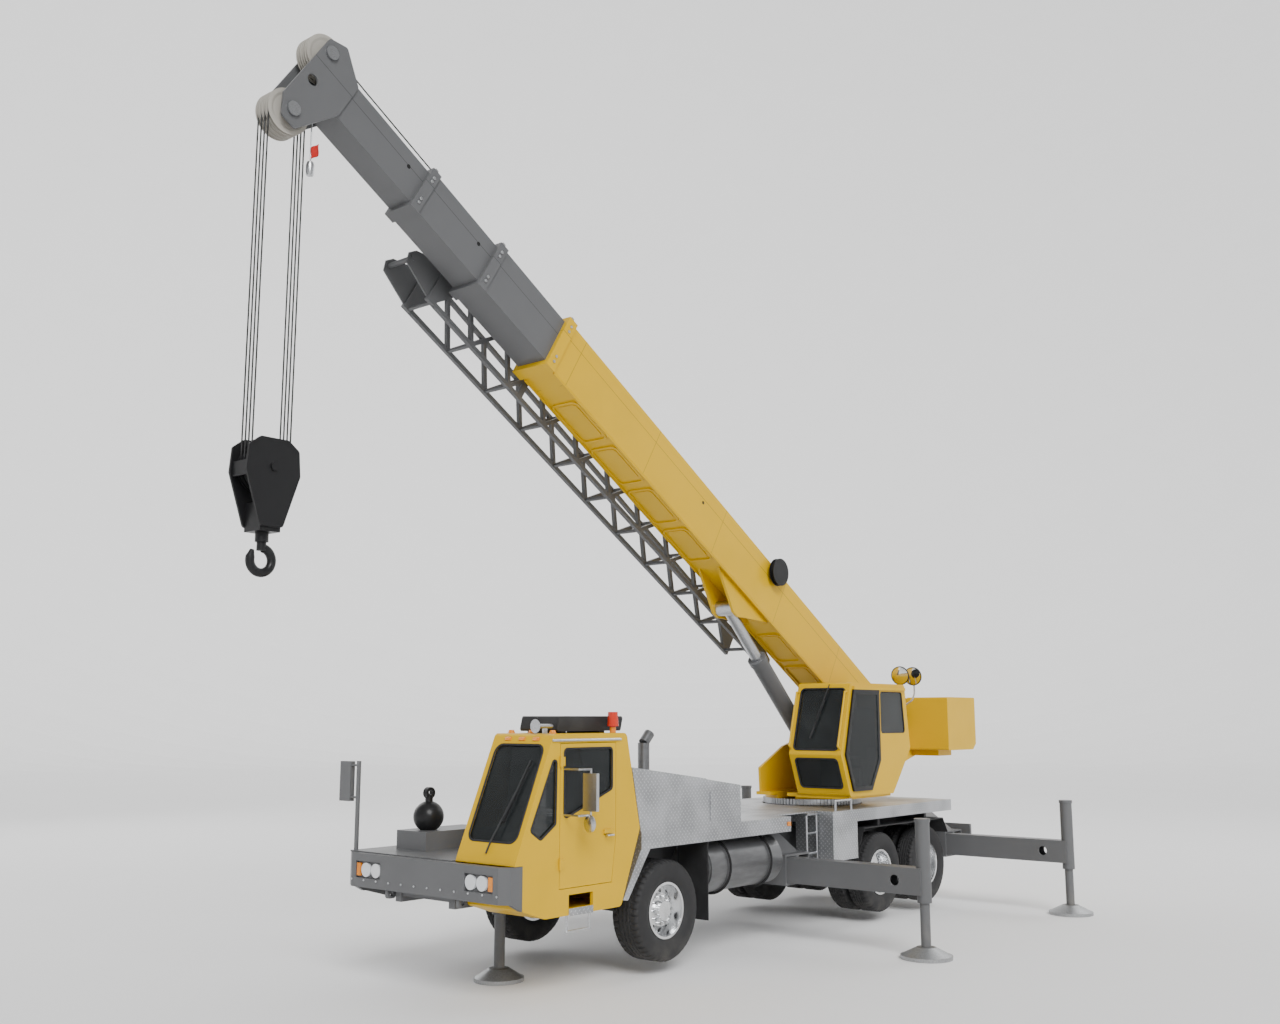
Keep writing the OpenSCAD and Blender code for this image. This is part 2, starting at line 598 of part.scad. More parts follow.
// Running gear
module tyre(d, w, y) translate([0, y, 0]) rotate([90, 0, 0]) {
    r = d / 2;
    b = rim_d / 2 + fit;
    k = [[b, -0.37 * w], [b + 26, -0.40 * w], [b + 0.45 * (r - b), -0.5 * w], [r - 46, -0.485 * w],
        [r - 14, -0.43 * w],
        [r, -0.36 * w]];
    v = [[b + 30, -0.34 * w], [b + 0.45 * (r - b), -0.44 * w], [r - 50, -0.42 * w], [r - 28, -0.34 * w]];
    rotate_extrude($fn = 64) polygon(concat(k, [for (i = [5 : -1 : 0]) [k[i][0], -k[i][1]]], [[b, 0.30 * w]],
        [for (i = [0 : 3]) [v[i][0], -v[i][1]]], [for (i = [3 : -1 : 0]) v[i]], [[b, -0.30 * w]]));
}

module rim(w, disc, lean, bore) rotate([90, 0, 0]) difference() {
    r = rim_d / 2;
    f = 0.37 * w + fit;
    g = f + 0.03 * w * 14 / 26;
    union() {
        rotate_extrude($fn = 64) polygon([[r, -f], [r + 14, -g], [r + 14, -g - 10], [r - 12, -g - 10],
            [r - 22, 0],
            [r - 12, g + 10], [r + 14, g + 10], [r + 14, g], [r, f], [r - 10, 0]]);
        rotate_extrude($fn = 64) polygon([[bore, -disc - 11], [172, -disc - 11], [r - 15, -disc - 11 + lean],
            [r - 15, -disc + 3 + lean], [168, -disc + 11 - fit], [bore, -disc + 11 - fit]]);
        for (a = [0 : 36 : 359]) rotate([0, 0, a]) translate([143, 0, -disc - 36]) cylinder(h = 40, r = 16);
    }
    for (a = [18 : 36 : 359]) rotate([0, 0, a]) translate([212, 0, -400]) cylinder(h = 800, r = 27);
}

module hub(y0, y1, cap) difference() {
    across(0, 0, y0, y1, 96);
    across(0, 0, y0 - 1, y1 - cap, 50);
}

module knuckle(s) color(dark) mirror([0, s > 0 ? 0 : 1, 0]) translate([front_axle_x, 0, front_z]) {
    difference() {
        union() {
            box([-60, king_y - 60, -150], [60, king_y + 70, 150]);
            across(0, 0, king_y + 60, front_y + 60, 50 - run);
            across(0, 0, king_y + 66, king_y + 120, 150);
            box([-230, king_y - 50, -140], [0, king_y + 10, -104]);
        }
        translate([-100, king_y - 70, -97]) cube([200, 130, 194]);
    }
    translate([0, king_y, -98]) cylinder(h = 8 - run, r = 30);
    translate([0, king_y, 90 + run]) cylinder(h = 8 - run, r = 30);
}

module front_wheel_at(s) mirror([0, s > 0 ? 0 : 1, 0]) translate([front_axle_x, front_y, front_z]) children();

module rear_wheel_at(x, s) mirror([0, s > 0 ? 0 : 1, 0]) translate([x, rear_y, rear_z]) children();

module rear_tyres() color(dark) {
    tyre(rear_tyre_d, rear_tyre_w, 0);
    tyre(rear_tyre_d, rear_tyre_w, -twin_pitch);
}

module rear_rims() color(steel) {
    rim(rear_tyre_w, 11 - twin_pitch / 2, -70, 90);
    hub(-twin_pitch - 40, 40, 20);
    translate([0, -twin_pitch, 0]) mirror([0, 1, 0]) rim(rear_tyre_w, 11 - twin_pitch / 2, -70, 96 + fit);
}

module front_rim() {
    rim(front_tyre_w, 70, 60, 90);
    hub(20, 130, 24);
}

module knuckle_left() knuckle(1);
module knuckle_right() knuckle(-1);
module front_tyre_left() color(dark) front_wheel_at(1) tyre(front_tyre_d, front_tyre_w, 0);
module front_tyre_right() color(dark) front_wheel_at(-1) tyre(front_tyre_d, front_tyre_w, 0);
module front_rim_left() color(steel) front_wheel_at(1) front_rim();
module front_rim_right() color(steel) front_wheel_at(-1) front_rim();
module rear_tyres_1_left() rear_wheel_at(bogie_x, 1) rear_tyres();
module rear_tyres_1_right() rear_wheel_at(bogie_x, -1) rear_tyres();
module rear_tyres_2_left() rear_wheel_at(bogie_x2, 1) rear_tyres();
module rear_tyres_2_right() rear_wheel_at(bogie_x2, -1) rear_tyres();
module rear_rims_1_left() rear_wheel_at(bogie_x, 1) rear_rims();
module rear_rims_1_right() rear_wheel_at(bogie_x, -1) rear_rims();
module rear_rims_2_left() rear_wheel_at(bogie_x2, 1) rear_rims();
module rear_rims_2_right() rear_wheel_at(bogie_x2, -1) rear_rims();

// Outriggers
module outrigger_beam(i) color(grey) translate([beams[i][0], 0, 0])
    mirror([0, beams[i][1] > 0 ? 0 : 1, 0]) difference() {
    union() {
        difference() {
            box([-beam_w / 2, beam_in_y, beam_z], [beam_w / 2, jack_y + 10, beam_z + beam_h]);
            box([-beam_w / 2 + 20, beam_in_y - 10, beam_z + 20], [beam_w / 2 - 20, jack_y - jack_d,
                beam_z + beam_h - 20]);
        }
        translate([0, jack_y, jack_low]) cylinder(h = jack_top - jack_low, d = jack_d);
        translate([0, jack_y, jack_top - 40]) cylinder(h = 40, d = jack_d + 16);
    }
    translate([0, jack_y, jack_low + 50]) cylinder(h = jack_top - jack_low - 74, d = jack_rod_d + 6);
    translate([0, jack_y, jack_low - 10]) cylinder(h = 70, d = jack_rod_d + 2 * run);
    translate([-200, jack_y - 330, beam_z + beam_h / 2]) rotate([0, 90, 0]) cylinder(h = 400, r = 62);
}

module jack_leg(x, y, d) color(grey) translate([x, y, 0]) {
    cylinder(h = 40, d = d);
    translate([0, 0, 39]) cylinder(h = float_h - 39, r1 = d / 2 - 8, r2 = jack_rod_d / 2 + 50);
    translate([0, 0, float_h - 1]) cylinder(h = 960, d = jack_rod_d);
}

module beam_front_left() outrigger_beam(0);
module beam_front_right() outrigger_beam(1);
module beam_rear_left() outrigger_beam(2);
module beam_rear_right() outrigger_beam(3);
module jack_front_left() jack_leg(beams[0][0], jack_y, float_d);
module jack_front_right() jack_leg(beams[1][0], -jack_y, float_d);
module jack_rear_left() jack_leg(beams[2][0], jack_y, float_d);
module jack_rear_right() jack_leg(beams[3][0], -jack_y, float_d);
module front_jack_leg() color(grey) translate([front_jack_x, 0, 0]) {
    cylinder(h = 40, d = float_d - 70);
    translate([0, 0, 39]) cylinder(h = float_h - 39, r1 = float_d / 2 - 43, r2 = jack_rod_d / 2 + 50);
    translate([0, 0, float_h - 1]) cylinder(h = 720, d = jack_rod_d);
}

// Upperworks
module turntable_frame() color(yellow) difference() {
    union() {
        translate([0, 0, turn_z]) cylinder(h = 60, r = ring_r - 30);
        box([-1000, -plate_y - side_t - 30, turn_z + 55], [860, plate_y + side_t + 5, turn_z + 100]);
        box([-250, plate_y, turn_z + 45], [880, op_y1 - 40, op_z - fit]);
        for (s = [0, 1]) mirror([0, s, 0]) {
            slab_xz([[830, turn_z + 90], [850, 2040], [250, 2330], [-900, 2620], [-1450, 2840], [-1850, 2840],
                [-2180, 2560], [-2900, 2420], [-2900, 2240], [-2250, 2080], [-1100, turn_z + 90]], plate_y,
                plate_y + side_t);
            across(-pivot_x, pivot_z, plate_y - 20, plate_y + side_t + 10, 150);
            across(low_x, low_z, 130, plate_y + 5, 110);
        }
        box([-2900, -plate_y - 5, 2180], [-2250, plate_y + 5, 2235]);
        box([-2860, -counter_w / 2 + 240, 2150], [-2420, counter_w / 2 - 240, 2240 - fit]);
        box([-1500, -plate_y - 5, 1900], [-1440, plate_y + 5, 2200]);
    }
    across(-pivot_x, pivot_z, -1000, 1000, 64 + run);
    across(low_x, low_z, 200, 1000, 50);
    across(low_x, low_z, -1000, -200, 50);
    box([-520, -142, 1500], [900, 142, turn_z + 110]);
}

module counterweight() color(yellow) difference() {
    slab_xz(eased([[-counter_x, 2330], [-counter_x + 110, 2240], [-2296, 2240], [-2296, 3052], [-counter_x,
        3052]], 25),
        -counter_w / 2, counter_w / 2);
    box([-2920, -plate_y - side_t - 6, 2240 - 5], [-2200, plate_y + side_t + 6, 3100]);
}

module hoist_drum() color(dark) {
    x = -2610;
    across(x, 2580, -plate_y + 60, plate_y - 60, 165);
    for (y = [-plate_y + 40, plate_y - 60]) across(x, 2580, y, y + 20, 235);
    across(x, 2580, -plate_y + fit, plate_y - fit, 60);
    for (s = [0, 1]) mirror([0, s, 0])
        box([x - 120, plate_y - 30, 2240 + fit], [x + 120, plate_y - fit, 2600]);
}

op_ring = [[907, op_z], [1125, 2249], [841, op_roof_z], [-671, op_roof_z], [-794, 2306], [-265, op_z]];
op_door = [[850, 1762], [1040, 2249], [800, op_roof_z - 90], [113, op_roof_z - 90], [113, 2155], [369, 1762]];
op_rear = [[40, 2520], [40, op_roof_z - 110], [-590, op_roof_z - 110], [-660, 2520]];
knee_a = atan2(1125 - 841, op_roof_z - 2249);
foot_a = atan2(1125 - 907, 2249 - op_z);

module op_front(g, x0, x1) translate([1125, op_y + op_w / 2, 2249]) rotate([0, -knee_a, 0])
    slab_yz(eased([[-op_w / 2 + 60 + g, 60 + g], [op_w / 2 - 60 - g, 60 + g],
        [op_w / 2 - 60 - g, 920 - g], [-op_w / 2 + 60 + g, 920 - g]], 60 - g), x0, x1);

module op_foot(g, x0, x1) translate([1125, op_y + op_w / 2, 2249]) rotate([0, foot_a, 0])
    slab_yz(eased([[-op_w / 2 + 80 + g, -480 + g], [op_w / 2 - 80 - g, -480 + g],
        [op_w / 2 - 80 - g, -60 - g], [-op_w / 2 + 80 + g, -60 - g]], 50 - g), x0, x1);

module operator_cab() color(yellow) {
    op_shell();
    translate([1125, op_y + op_w / 2, 2249]) rotate([0, -knee_a, 0]) for (y = [-op_w / 2 + 28, op_w / 2 - 28])
        pipe([[-12, y, 70], [62, y, 100], [62, y, 850], [-12, y, 880]], 14);
}

module op_shell() difference() {
    union() {
        difference() {
            slab_xz(eased(op_ring, 50), op_y, op_y1);
            slab_xz(eased(inset(op_ring, 36), 20), op_y + 36, op_y1 - 36);
        }
        box([60, op_y1 - 5, op_roof_z - 90 + run], [790, op_y1 + 34, op_roof_z - 50]);
        box([-640, op_y1 - 5, op_roof_z - 90 + run], [61, op_y1 + 34, op_roof_z - 50]);
    }
    slab_xz(inset(op_door, 30), op_y1 - 60, op_y1 + 2);
    slab_xz(eased(op_rear, 50), op_y1 - 60, op_y1 + 10);
    slab_xz(eased([[930, 2350], [760, op_roof_z - 110], [-590, op_roof_z - 110], [-660, 2350]], 50),
        op_y - 10, op_y + 60);
    op_front(0, -120, 60);
    op_foot(0, -120, 60);
    box([300, op_y + 120, op_roof_z - 60], [700, op_y1 - 120, op_roof_z + 10]);
}

module operator_glass() color(pane) {
    op_front(run, -24, -14);
    op_foot(run, -24, -14);
    slab_xz(eased(inset(op_rear, run), 50), op_y1 - 24, op_y1 - 14);
    slab_xz(eased(inset([[930, 2350], [760, op_roof_z - 110], [-590, op_roof_z - 110], [-660, 2350]], run),
        50),
        op_y + 14, op_y + 24);
    box([300 + run, op_y + 120 + run, op_roof_z - 24], [700 - run, op_y1 - 120 - run, op_roof_z - 14]);
}

module operator_interior() color(dark) {
    yc = op_y + op_w / 2;
    seat(60, yc, op_z + 36 + fit, 330);
    for (s = [-1, 1]) box([-80, yc + s * 300 - 45, op_z + 36 + fit], [330, yc + s * 300 + 45, 2330]);
    box([640, yc - 130, op_z + 36 + fit], [760, yc + 130, 2350]);
}

module operator_door() {
    color(dark) difference() {
        slab_xz(op_door, op_y1 + 6, op_y1 + 32);
        slab_xz(eased(inset(op_door, 60), 25), op_y1, op_y1 + 40);
    }
    color(pane) slab_xz(eased(inset(op_door, 60 + run), 25), op_y1 + 14, op_y1 + 24);
}

module at_lift() translate([low_x, 0, low_z]) rotate([0, -lift_a, 0]) children();

module lift_barrel() color(grey) at_lift() difference() {
    union() {
        along(0, 0, 90, 2263, 122);
        along(0, 0, 2180, 2263, 134);
        across(0, 0, -130 + run, 130 - run, 118);
    }
    along(0, 0, 190, 2200, 84);
    along(0, 0, 2100, 2300, 80 + run);
}

module lift_rod() color(steel) at_lift() difference() {
    union() {
        along(0, 0, lift_len - 2250, lift_len - 60, 80);
        across(lift_len, 0, -142 + run, 142 - run, 105);
    }
    across(lift_len, 0, -220, 220, 50 + run);
}

// Boom
module tube(s0, s1, w, h, t) difference() {
    box([s0, -w / 2, cl - h / 2], [s1, w / 2, cl + h / 2]);
    box([s0 - 1, -w / 2 + t, cl - h / 2 + t], [s1 + 1, w / 2 - t, cl + h / 2 - t]);
}

module collar(s0, s1, w, h, wi, hi) difference() {
    box([s0, -w / 2, cl - h / 2], [s1, w / 2, cl + h / 2]);
    box([s0 - 1, -wi / 2, cl - hi / 2], [s1 + 1, wi / 2, cl + hi / 2]);
}

module boom_base() color(yellow) on_boom() {
    tube(-230, base_len, base_w, base_h, boom_t);
    collar(base_len - 150, base_len, base_w + 60, base_h + 60, w2 + 2 * pad_clear, h2 + 2 * pad_clear);
    box([-230, -base_w / 2, cl - base_h / 2], [-210, base_w / 2, cl + base_h / 2]);
    for (s = [0, 1]) mirror([0, s, 0]) {
        across(0, 0, base_w / 2 - 5, plate_y - 26, 150);
        slab_xz([[lug_s - 700, cl - base_h / 2 + 5], [lug_s - 150, lug_t - 60], [lug_s - 60, lug_t - 115],
            [lug_s + 60, lug_t - 115], [lug_s + 150, lug_t - 60], [lug_s + 650, cl - base_h / 2 + 5]], 142,
            182);
    }
    across(0, 0, -plate_y - side_t - 10, plate_y + side_t + 10, 64);
    across(lug_s, lug_t, -182, 182, 50);
    for (i = [0 : 8], s = [750 + i * panel_pitch], e = [s + panel_pitch - 240])
        slab_xy(eased([[s, -150], [e, -150], [e, 150], [s, 150]], 60),
            cl - base_h / 2 - (i == 3 || i == 4 ? -2 : 8), cl - base_h / 2 + 5);
}

module cable_reel() color(dark) on_boom() {
    across(3600, 330, base_w / 2 + fit, base_w / 2 + 60, 40);
    across(3600, 330, base_w / 2 + 50, base_w / 2 + 60, 190);
    across(3600, 330, base_w / 2 + 58, base_w / 2 + 110, 120);
    across(3600, 330, base_w / 2 + 108, base_w / 2 + 118, 190);
}

module inner_section(s0, s1, w, h, wp, hp) {
    tube(s0, s1, w, h, boom_t);
    collar(s0, s0 + 120, wp - 2 * boom_t - 2 * pad_clear, hp - 2 * boom_t - 2 * pad_clear, w - 2 * boom_t,
        h - 2 * boom_t);
}

module boom_section_2() color(grey) on_boom() {
    inner_section(len_2 - 8200, len_2, w2, h2, base_w, base_h);
    collar(len_2 - 130, len_2, w2 + 40, h2 + 40, w3 + 2 * pad_clear, h3 + 2 * pad_clear);
}

module boom_section_3() color(grey) on_boom() {
    inner_section(len_3 - 8000, len_3, w3, h3, w2, h2);
    collar(len_3 - 130, len_3, w3 + 40, h3 + 40, w4 + 2 * pad_clear, h4 + 2 * pad_clear);
}

module sheave() rotate([90, 0, 0]) rotate_extrude($fn = 64) polygon([[39 + fit, -20],
    [sheave_d / 2 - 40, -14], [sheave_d / 2 - 12, -22], [sheave_r, -22], [sheave_r, -16],
    [sheave_d / 2 - rope_d / 2 - fit, -rope_d / 2 - 2],
    [sheave_d / 2 - rope_d / 2 - fit, rope_d / 2 + 2], [sheave_r, 16], [sheave_r, 22], [sheave_d / 2 - 12,
    22],
    [sheave_d / 2 - 40, 14], [39 + fit, 20]]);

module boom_section_4() color(grey) on_boom() {
    inner_section(len_4 - 7900, len_4, w4, h4, w3, h3);
    for (s = [0, 1]) mirror([0, s, 0]) difference() {
        slab_xz(eased([[len_4 - 200, cl - h4 / 2 + 10], [len_4 + 60, head_t - 150], [head_s + 60,
            head_t - 150],
            [head_s + 170, head_t + 60], [head_s + 130, 420], [head_s - 60, 520], [len_4 - 200,
            cl + h4 / 2 - 10]], 40),
            w4 / 2 - 4, w4 / 2 + 18);
        across(head_s + 20, -120, 0, 400, 60);
    }
    across(head_s, head_t, -w4 / 2 - 30, w4 / 2 + 30, 39);
    across(head_s + 30, 300, -w4 / 2 - 30, w4 / 2 + 30, 39);
    box([len_4 - 20, -w4 / 2 - 10, cl - h4 / 2], [len_4 + 10, w4 / 2 + 10, cl + h4 / 2]);
    for (k = [-1.5 : 1 : 1.5]) translate([head_s, k * sheave_pitch, head_t]) sheave();
    for (k = [-1 : 1 : 1]) translate([head_s + 30, k * 70, 300]) sheave();
}

jib_y = -base_w / 2 - 125;
jib_lo = cl - base_h / 2 - 150;
jib_s0 = 2900;
jib_s1 = 9900;
jib_n = 10;
function jib_s(i) = jib_s0 + (jib_s1 - jib_s0) * i / jib_n;
function jib_h(i) = jib_lo + 560 * (0.62 + 0.38 * i / jib_n);
jib_web = 24;

// One side of the lattice: a tapered plate opened by two rows of triangles
module jib_side(y, t) difference() {
    slab_xz([[jib_s(0) - 84, jib_lo - 30], [jib_s(jib_n) + 84, jib_lo - 30], [jib_s(jib_n) + 84,
        jib_h(jib_n) + 26],
        [jib_s(0) - 84, jib_h(0) + 26]], y - t / 2, y + t / 2);
    for (i = [0 : jib_n - 1]) slab_xz(inset([[jib_s(i), jib_lo], [jib_s(i + 1), jib_lo],
        [jib_s(i + 0.5), jib_h(i + 0.5)]], jib_web), y - 100, y + 100);
    for (i = [0 : jib_n - 2]) slab_xz(inset([[jib_s(i + 1), jib_lo], [jib_s(i + 1.5), jib_h(i + 1.5)],
        [jib_s(i + 0.5), jib_h(i + 0.5)]], jib_web), y - 100, y + 100);
}

module jib_lattice() {
    jib_side(jib_y, 50);
    jib_side(jib_y - 400, 50);
    for (i = [0 : jib_n]) box([jib_s(i) - 17, jib_y - 395, jib_lo - 20], [jib_s(i) + 17, jib_y - 5,
        jib_lo + 14]);
    for (i = [0 : jib_n - 1]) box([jib_s(i + 0.5) - 17, jib_y - 395, jib_h(i + 0.5) - 16],
        [jib_s(i + 0.5) + 17, jib_y - 5, jib_h(i + 0.5) + 12]);
}

module stowed_jib() color(grey) on_boom() {
    jib_lattice();
    for (y = [jib_y - 12, jib_y - 408])
        slab_xz([[jib_s1 - 60, jib_lo - 40], [jib_s1 + 500, jib_lo + 120], [jib_s1 + 540, jib_lo + 240],
            [jib_s1 + 480, jib_lo + 330], [jib_s1 - 60, jib_lo + 600]], y, y + 20);
    bar([jib_s1 + 470, jib_y - 420, jib_lo + 220], [jib_s1 + 470, jib_y + 20, jib_lo + 220], 30);
    difference() {
        slab_xz([[jib_s0 - 620, jib_lo - 60], [jib_s0 + 50, jib_lo - 40], [jib_s0 + 50, jib_h(0) + 40],
            [jib_s0 - 560, jib_lo + 180]], jib_y - 14, jib_y + 14);
        for (k = [0 : 2]) across(jib_s0 - 480 + k * 190, jib_lo + 50 + k * 20, jib_y - 100, jib_y + 100, 50);
    }
    for (s = [3250, 8220]) {
        box([s, jib_y - 20, cl - 60], [s + 160, -base_w / 2 - fit, cl + 60]);
        box([s + 40, jib_y - 18, jib_lo], [s + 120, jib_y + 18, cl + 40]);
    }
}

// Hook
module at_block(z) translate([head_x, 0, block_z + z]) children();

module hoist_falls() color(dark) for (k = [-1.5 : 1 : 1.5], s = [-1, 1])
    translate([head_x + s * sheave_d / 2, k * sheave_pitch, block_z]) cylinder(h = fall_len, d = rope_d,
        $fn = 16);

module hook_block() color(dark) at_block(0) {
    for (s = [-1, 1]) slab_xz(eased([[-120, -560], [120, -560], [290, -60], [270, 180], [150, 270], [-150,
        270], [-270, 180],
        [-290, -60]], 40), s > 0 ? 122 : -147, s > 0 ? 147 : -122);
    across(0, 0, -165, 165, 39);
    for (k = [-1.5 : 1 : 1.5]) translate([0, k * sheave_pitch, 0]) sheave();
    box([-110, -125, -600], [110, 125, -330]);
    for (x = [-264, 240]) box([x, -125, -100], [x + 24, 125, 40]);
}

module hook() color(dark) at_block(0) {
    translate([0, 0, -690]) cylinder(h = 90 - run, r = 62);
    translate([0, 0, -770]) cylinder(h = 90, r = 44);
    translate([0, 0, -860]) rotate([90, 0, 0]) {
        rotate([0, 0, 98]) rotate_extrude(angle = 277) translate([115, 0]) circle(r = 42);
        rotate([0, 0, 14]) translate([115, 0, 0]) rotate([-90, 0, 0]) cylinder(h = 66, r1 = 40, r2 = 20);
    }
}

chassis_frame();
front_bumper();
front_deck();
overhaul_ball();
cab_shell();
cab_glass();
cab_interior();
roof_unit();
engine_hood();
deck_plates();
tanks();
engine_exhaust();
axles();
mud_guards();
slew_ring();
lamps();
grab_rails();
cab_door();
door_mirror();
knuckle_left();
knuckle_right();
front_tyre_left();
front_tyre_right();
front_rim_left();
front_rim_right();
rear_tyres_1_left();
rear_tyres_1_right();
rear_tyres_2_left();
rear_tyres_2_right();
rear_rims_1_left();
rear_rims_1_right();
rear_rims_2_left();
rear_rims_2_right();
beam_front_left();
beam_front_right();
beam_rear_left();
beam_rear_right();
jack_front_left();
jack_front_right();
jack_rear_left();
jack_rear_right();
front_jack_leg();
turntable_frame();
counterweight();
hoist_drum();
operator_cab();
operator_glass();
operator_interior();
operator_door();
lift_barrel();
lift_rod();
boom_base();
cable_reel();
stowed_jib();
boom_section_2();
boom_section_3();
boom_section_4();
hoist_falls();
hook_block();
hook();
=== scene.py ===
"""Finishes, rubber, rope and trim of a telescopic truck crane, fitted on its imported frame."""

import bmesh
import bpy
import numpy as np
from mathutils import Matrix, Vector


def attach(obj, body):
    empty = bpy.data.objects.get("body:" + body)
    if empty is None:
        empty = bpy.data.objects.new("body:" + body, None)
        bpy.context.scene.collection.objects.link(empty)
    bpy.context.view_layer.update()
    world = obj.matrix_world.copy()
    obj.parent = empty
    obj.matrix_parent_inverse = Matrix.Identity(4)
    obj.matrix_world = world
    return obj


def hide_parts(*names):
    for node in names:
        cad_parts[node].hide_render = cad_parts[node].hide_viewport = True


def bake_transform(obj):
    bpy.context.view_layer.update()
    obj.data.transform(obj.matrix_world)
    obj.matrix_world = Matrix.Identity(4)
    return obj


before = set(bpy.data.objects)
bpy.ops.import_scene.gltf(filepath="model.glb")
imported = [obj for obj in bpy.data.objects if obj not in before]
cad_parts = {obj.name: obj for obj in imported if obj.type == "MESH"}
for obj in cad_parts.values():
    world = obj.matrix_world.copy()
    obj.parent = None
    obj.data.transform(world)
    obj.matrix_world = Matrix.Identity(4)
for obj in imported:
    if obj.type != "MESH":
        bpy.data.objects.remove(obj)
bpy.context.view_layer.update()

bl_info = {
    "name": "Truck Crane Dressing",
    "version": (1, 0, 0),
    "blender": (4, 5, 0),
    "location": "View3D > Sidebar > Crane",
    "description": "Paint, tread plate, tyres, wire rope, seals and small fittings for the truck crane",
    "category": "Object",
}


def unit(v):
    """The vector at length one."""
    v = np.asarray(v, float)
    return v / np.linalg.norm(v)


TAU = 2 * np.pi
AHEAD, LEFT, UP = np.eye(3)
SIDES = (("left", 1), ("right", -1))

# Carrier: half its width, and the axles' tyre centres
HALF = 1.22
FRONT_X, FRONT_Y, FRONT_Z = 4.81, 0.9995, 0.666
REAR_AXLES = ((1, 0.14), (2, -1.21))
REAR_OUT, REAR_IN, REAR_Z = 1.0525, 0.7325, 0.657
BEAD = 0.2858
NUT_RING = 0.143

# Cabs: side planes, middle, foot of the front panes and the ways they lean
CAB_Y, OP_Y, OP_Y1 = 0.387, 0.359, 1.181
CAB_MID, OP_MID = (CAB_Y + HALF) / 2, (OP_Y + OP_Y1) / 2
CAB_FOOT = np.array([7.2, CAB_MID, 1.342])
OP_KNEE = np.array([1.125, OP_MID, 2.249])
SCREEN, SCREEN_OUT = unit((-0.519, 0.0, 1.238)), unit((1.238, 0.0, 0.519))
SCREEN_LOW, SCREEN_HIGH, SCREEN_HALF = 0.215, 1.222, 0.3415
KNEE, SHIN = unit((-0.284, 0.0, 0.959)), unit((0.218, 0.0, 0.557))
KNEE_OUT = np.array([KNEE[2], 0.0, -KNEE[0]])

# Boom: its angle and foot pin at rest, sheaves as (along, above), collars as (body, along, width, height)
LUFF = np.radians(31)
PIVOT = np.array([-1.663, 0.0, 2.6])
ALONG = np.array([np.cos(LUFF), 0.0, np.sin(LUFF)])
ABOVE = np.array([-np.sin(LUFF), 0.0, np.cos(LUFF)])
HEAD = (12.485, -0.56)
TOP_SHEAVE = (HEAD[0] + 0.03, 0.3)
MIDLINE = 0.05
COLLARS = (
    ("boom", 8.525, 0.56, 0.76),
    ("section_2", 9.785, 0.484, 0.664),
    ("section_3", 10.915, 0.428, 0.588),
)

# Rope: its radius on a sheave, the falls' spacing and length, its height along the boom, the drum
ROPE_BEND, ROPE_GAP, FALL, LEAD = 0.205, 0.056, 3.52, 0.49
DRUM = np.array([-2.61, 0.0, 2.58])


def boom_point(s, y, t):
    """Point at s along the boom, y to the left and t above its pivot line."""
    s, y, t = np.broadcast_arrays(np.asarray(s, float), np.asarray(y, float), np.asarray(t, float))
    return PIVOT + s[..., None] * ALONG + y[..., None] * LEFT + t[..., None] * ABOVE


def rgb(name, text, colour):
    """A colour property with its default."""
    return bpy.props.FloatVectorProperty(
        name=name, description=text, subtype="COLOR", size=3, min=0, max=1, default=colour)


def metres(name, text, value, low, high):
    """A length property in metres with its default."""
    return bpy.props.FloatProperty(
        name=name, description=text, subtype="DISTANCE", unit="LENGTH", default=value, min=low, max=high)


class CranePaint(bpy.types.PropertyGroup):
    """Colours of the crane's finishes."""

    yellow: rgb("Yellow", "Gloss paint of the cabs, turntable and base boom", (0.68, 0.41, 0.0))
    grey: rgb("Grey", "Satin paint of the carrier and the inner boom sections", (0.118, 0.12, 0.124))
    black: rgb("Black", "Paint of the hook block and running gear", (0.012, 0.012, 0.013))
    aluminium: rgb("Aluminium", "Tread plate of the decks and hood", (0.5, 0.51, 0.53))
    rubber: rgb("Rubber", "Tyres, seals and mud flaps", (0.016, 0.016, 0.017))
    glass: rgb("Glass", "Tint of the window panes", (0.014, 0.017, 0.018))
    dust: rgb("Dust", "Road dust that settles low down", (0.24, 0.22, 0.19))


class CraneSizes(bpy.types.PropertyGroup):
    """Sizes of the fitted pieces."""

    groove: metres("Tread groove", "Depth of the tyre grooves", 0.013, 0.004, 0.02)
    rope: metres("Rope diameter", "Hoist rope diameter", 0.016, 0.008, 0.03)
    lay: metres("Rope lay", "Length in which a strand turns once", 0.12, 0.06, 0.3)
    seal: metres("Seal width", "Width of the window rubber", 0.022, 0.01, 0.04)
    lozenge: metres("Lozenge pitch", "Pitch of the tread plate pattern", 0.044, 0.01, 0.08)
    bolt: metres("Bolt head", "Radius of the turntable's bolt heads", 0.017, 0.006, 0.03)


class Value:
    """A shader socket that can stand in a sum; each operator adds one Math node."""

    def __init__(self, finish, socket):
        self.finish, self.socket = finish, socket

    def math(self, operation, other=0.0):
        """One Math node with this value first."""
        return self.finish.node("ShaderNodeMath", {"operation": operation}, {0: self, 1: other})

    def squared(self):
        """This value times itself."""
        return self * self

    def __add__(self, other):
        return self.math("ADD", other)

    def __sub__(self, other):
        return self.math("SUBTRACT", other)

    def __rsub__(self, other):
        return self.finish.node("ShaderNodeMath", {"operation": "SUBTRACT"}, {0: other, 1: self})

    def __mul__(self, other):
        return self.math("MULTIPLY", other)

    def __truediv__(self, other):
        return self.math("DIVIDE", other)

    def __gt__(self, other):
        return self.math("GREATER_THAN", other)

    def __lt__(self, other):
        return self.math("LESS_THAN", other)

    __radd__ = __add__
    __rmul__ = __mul__


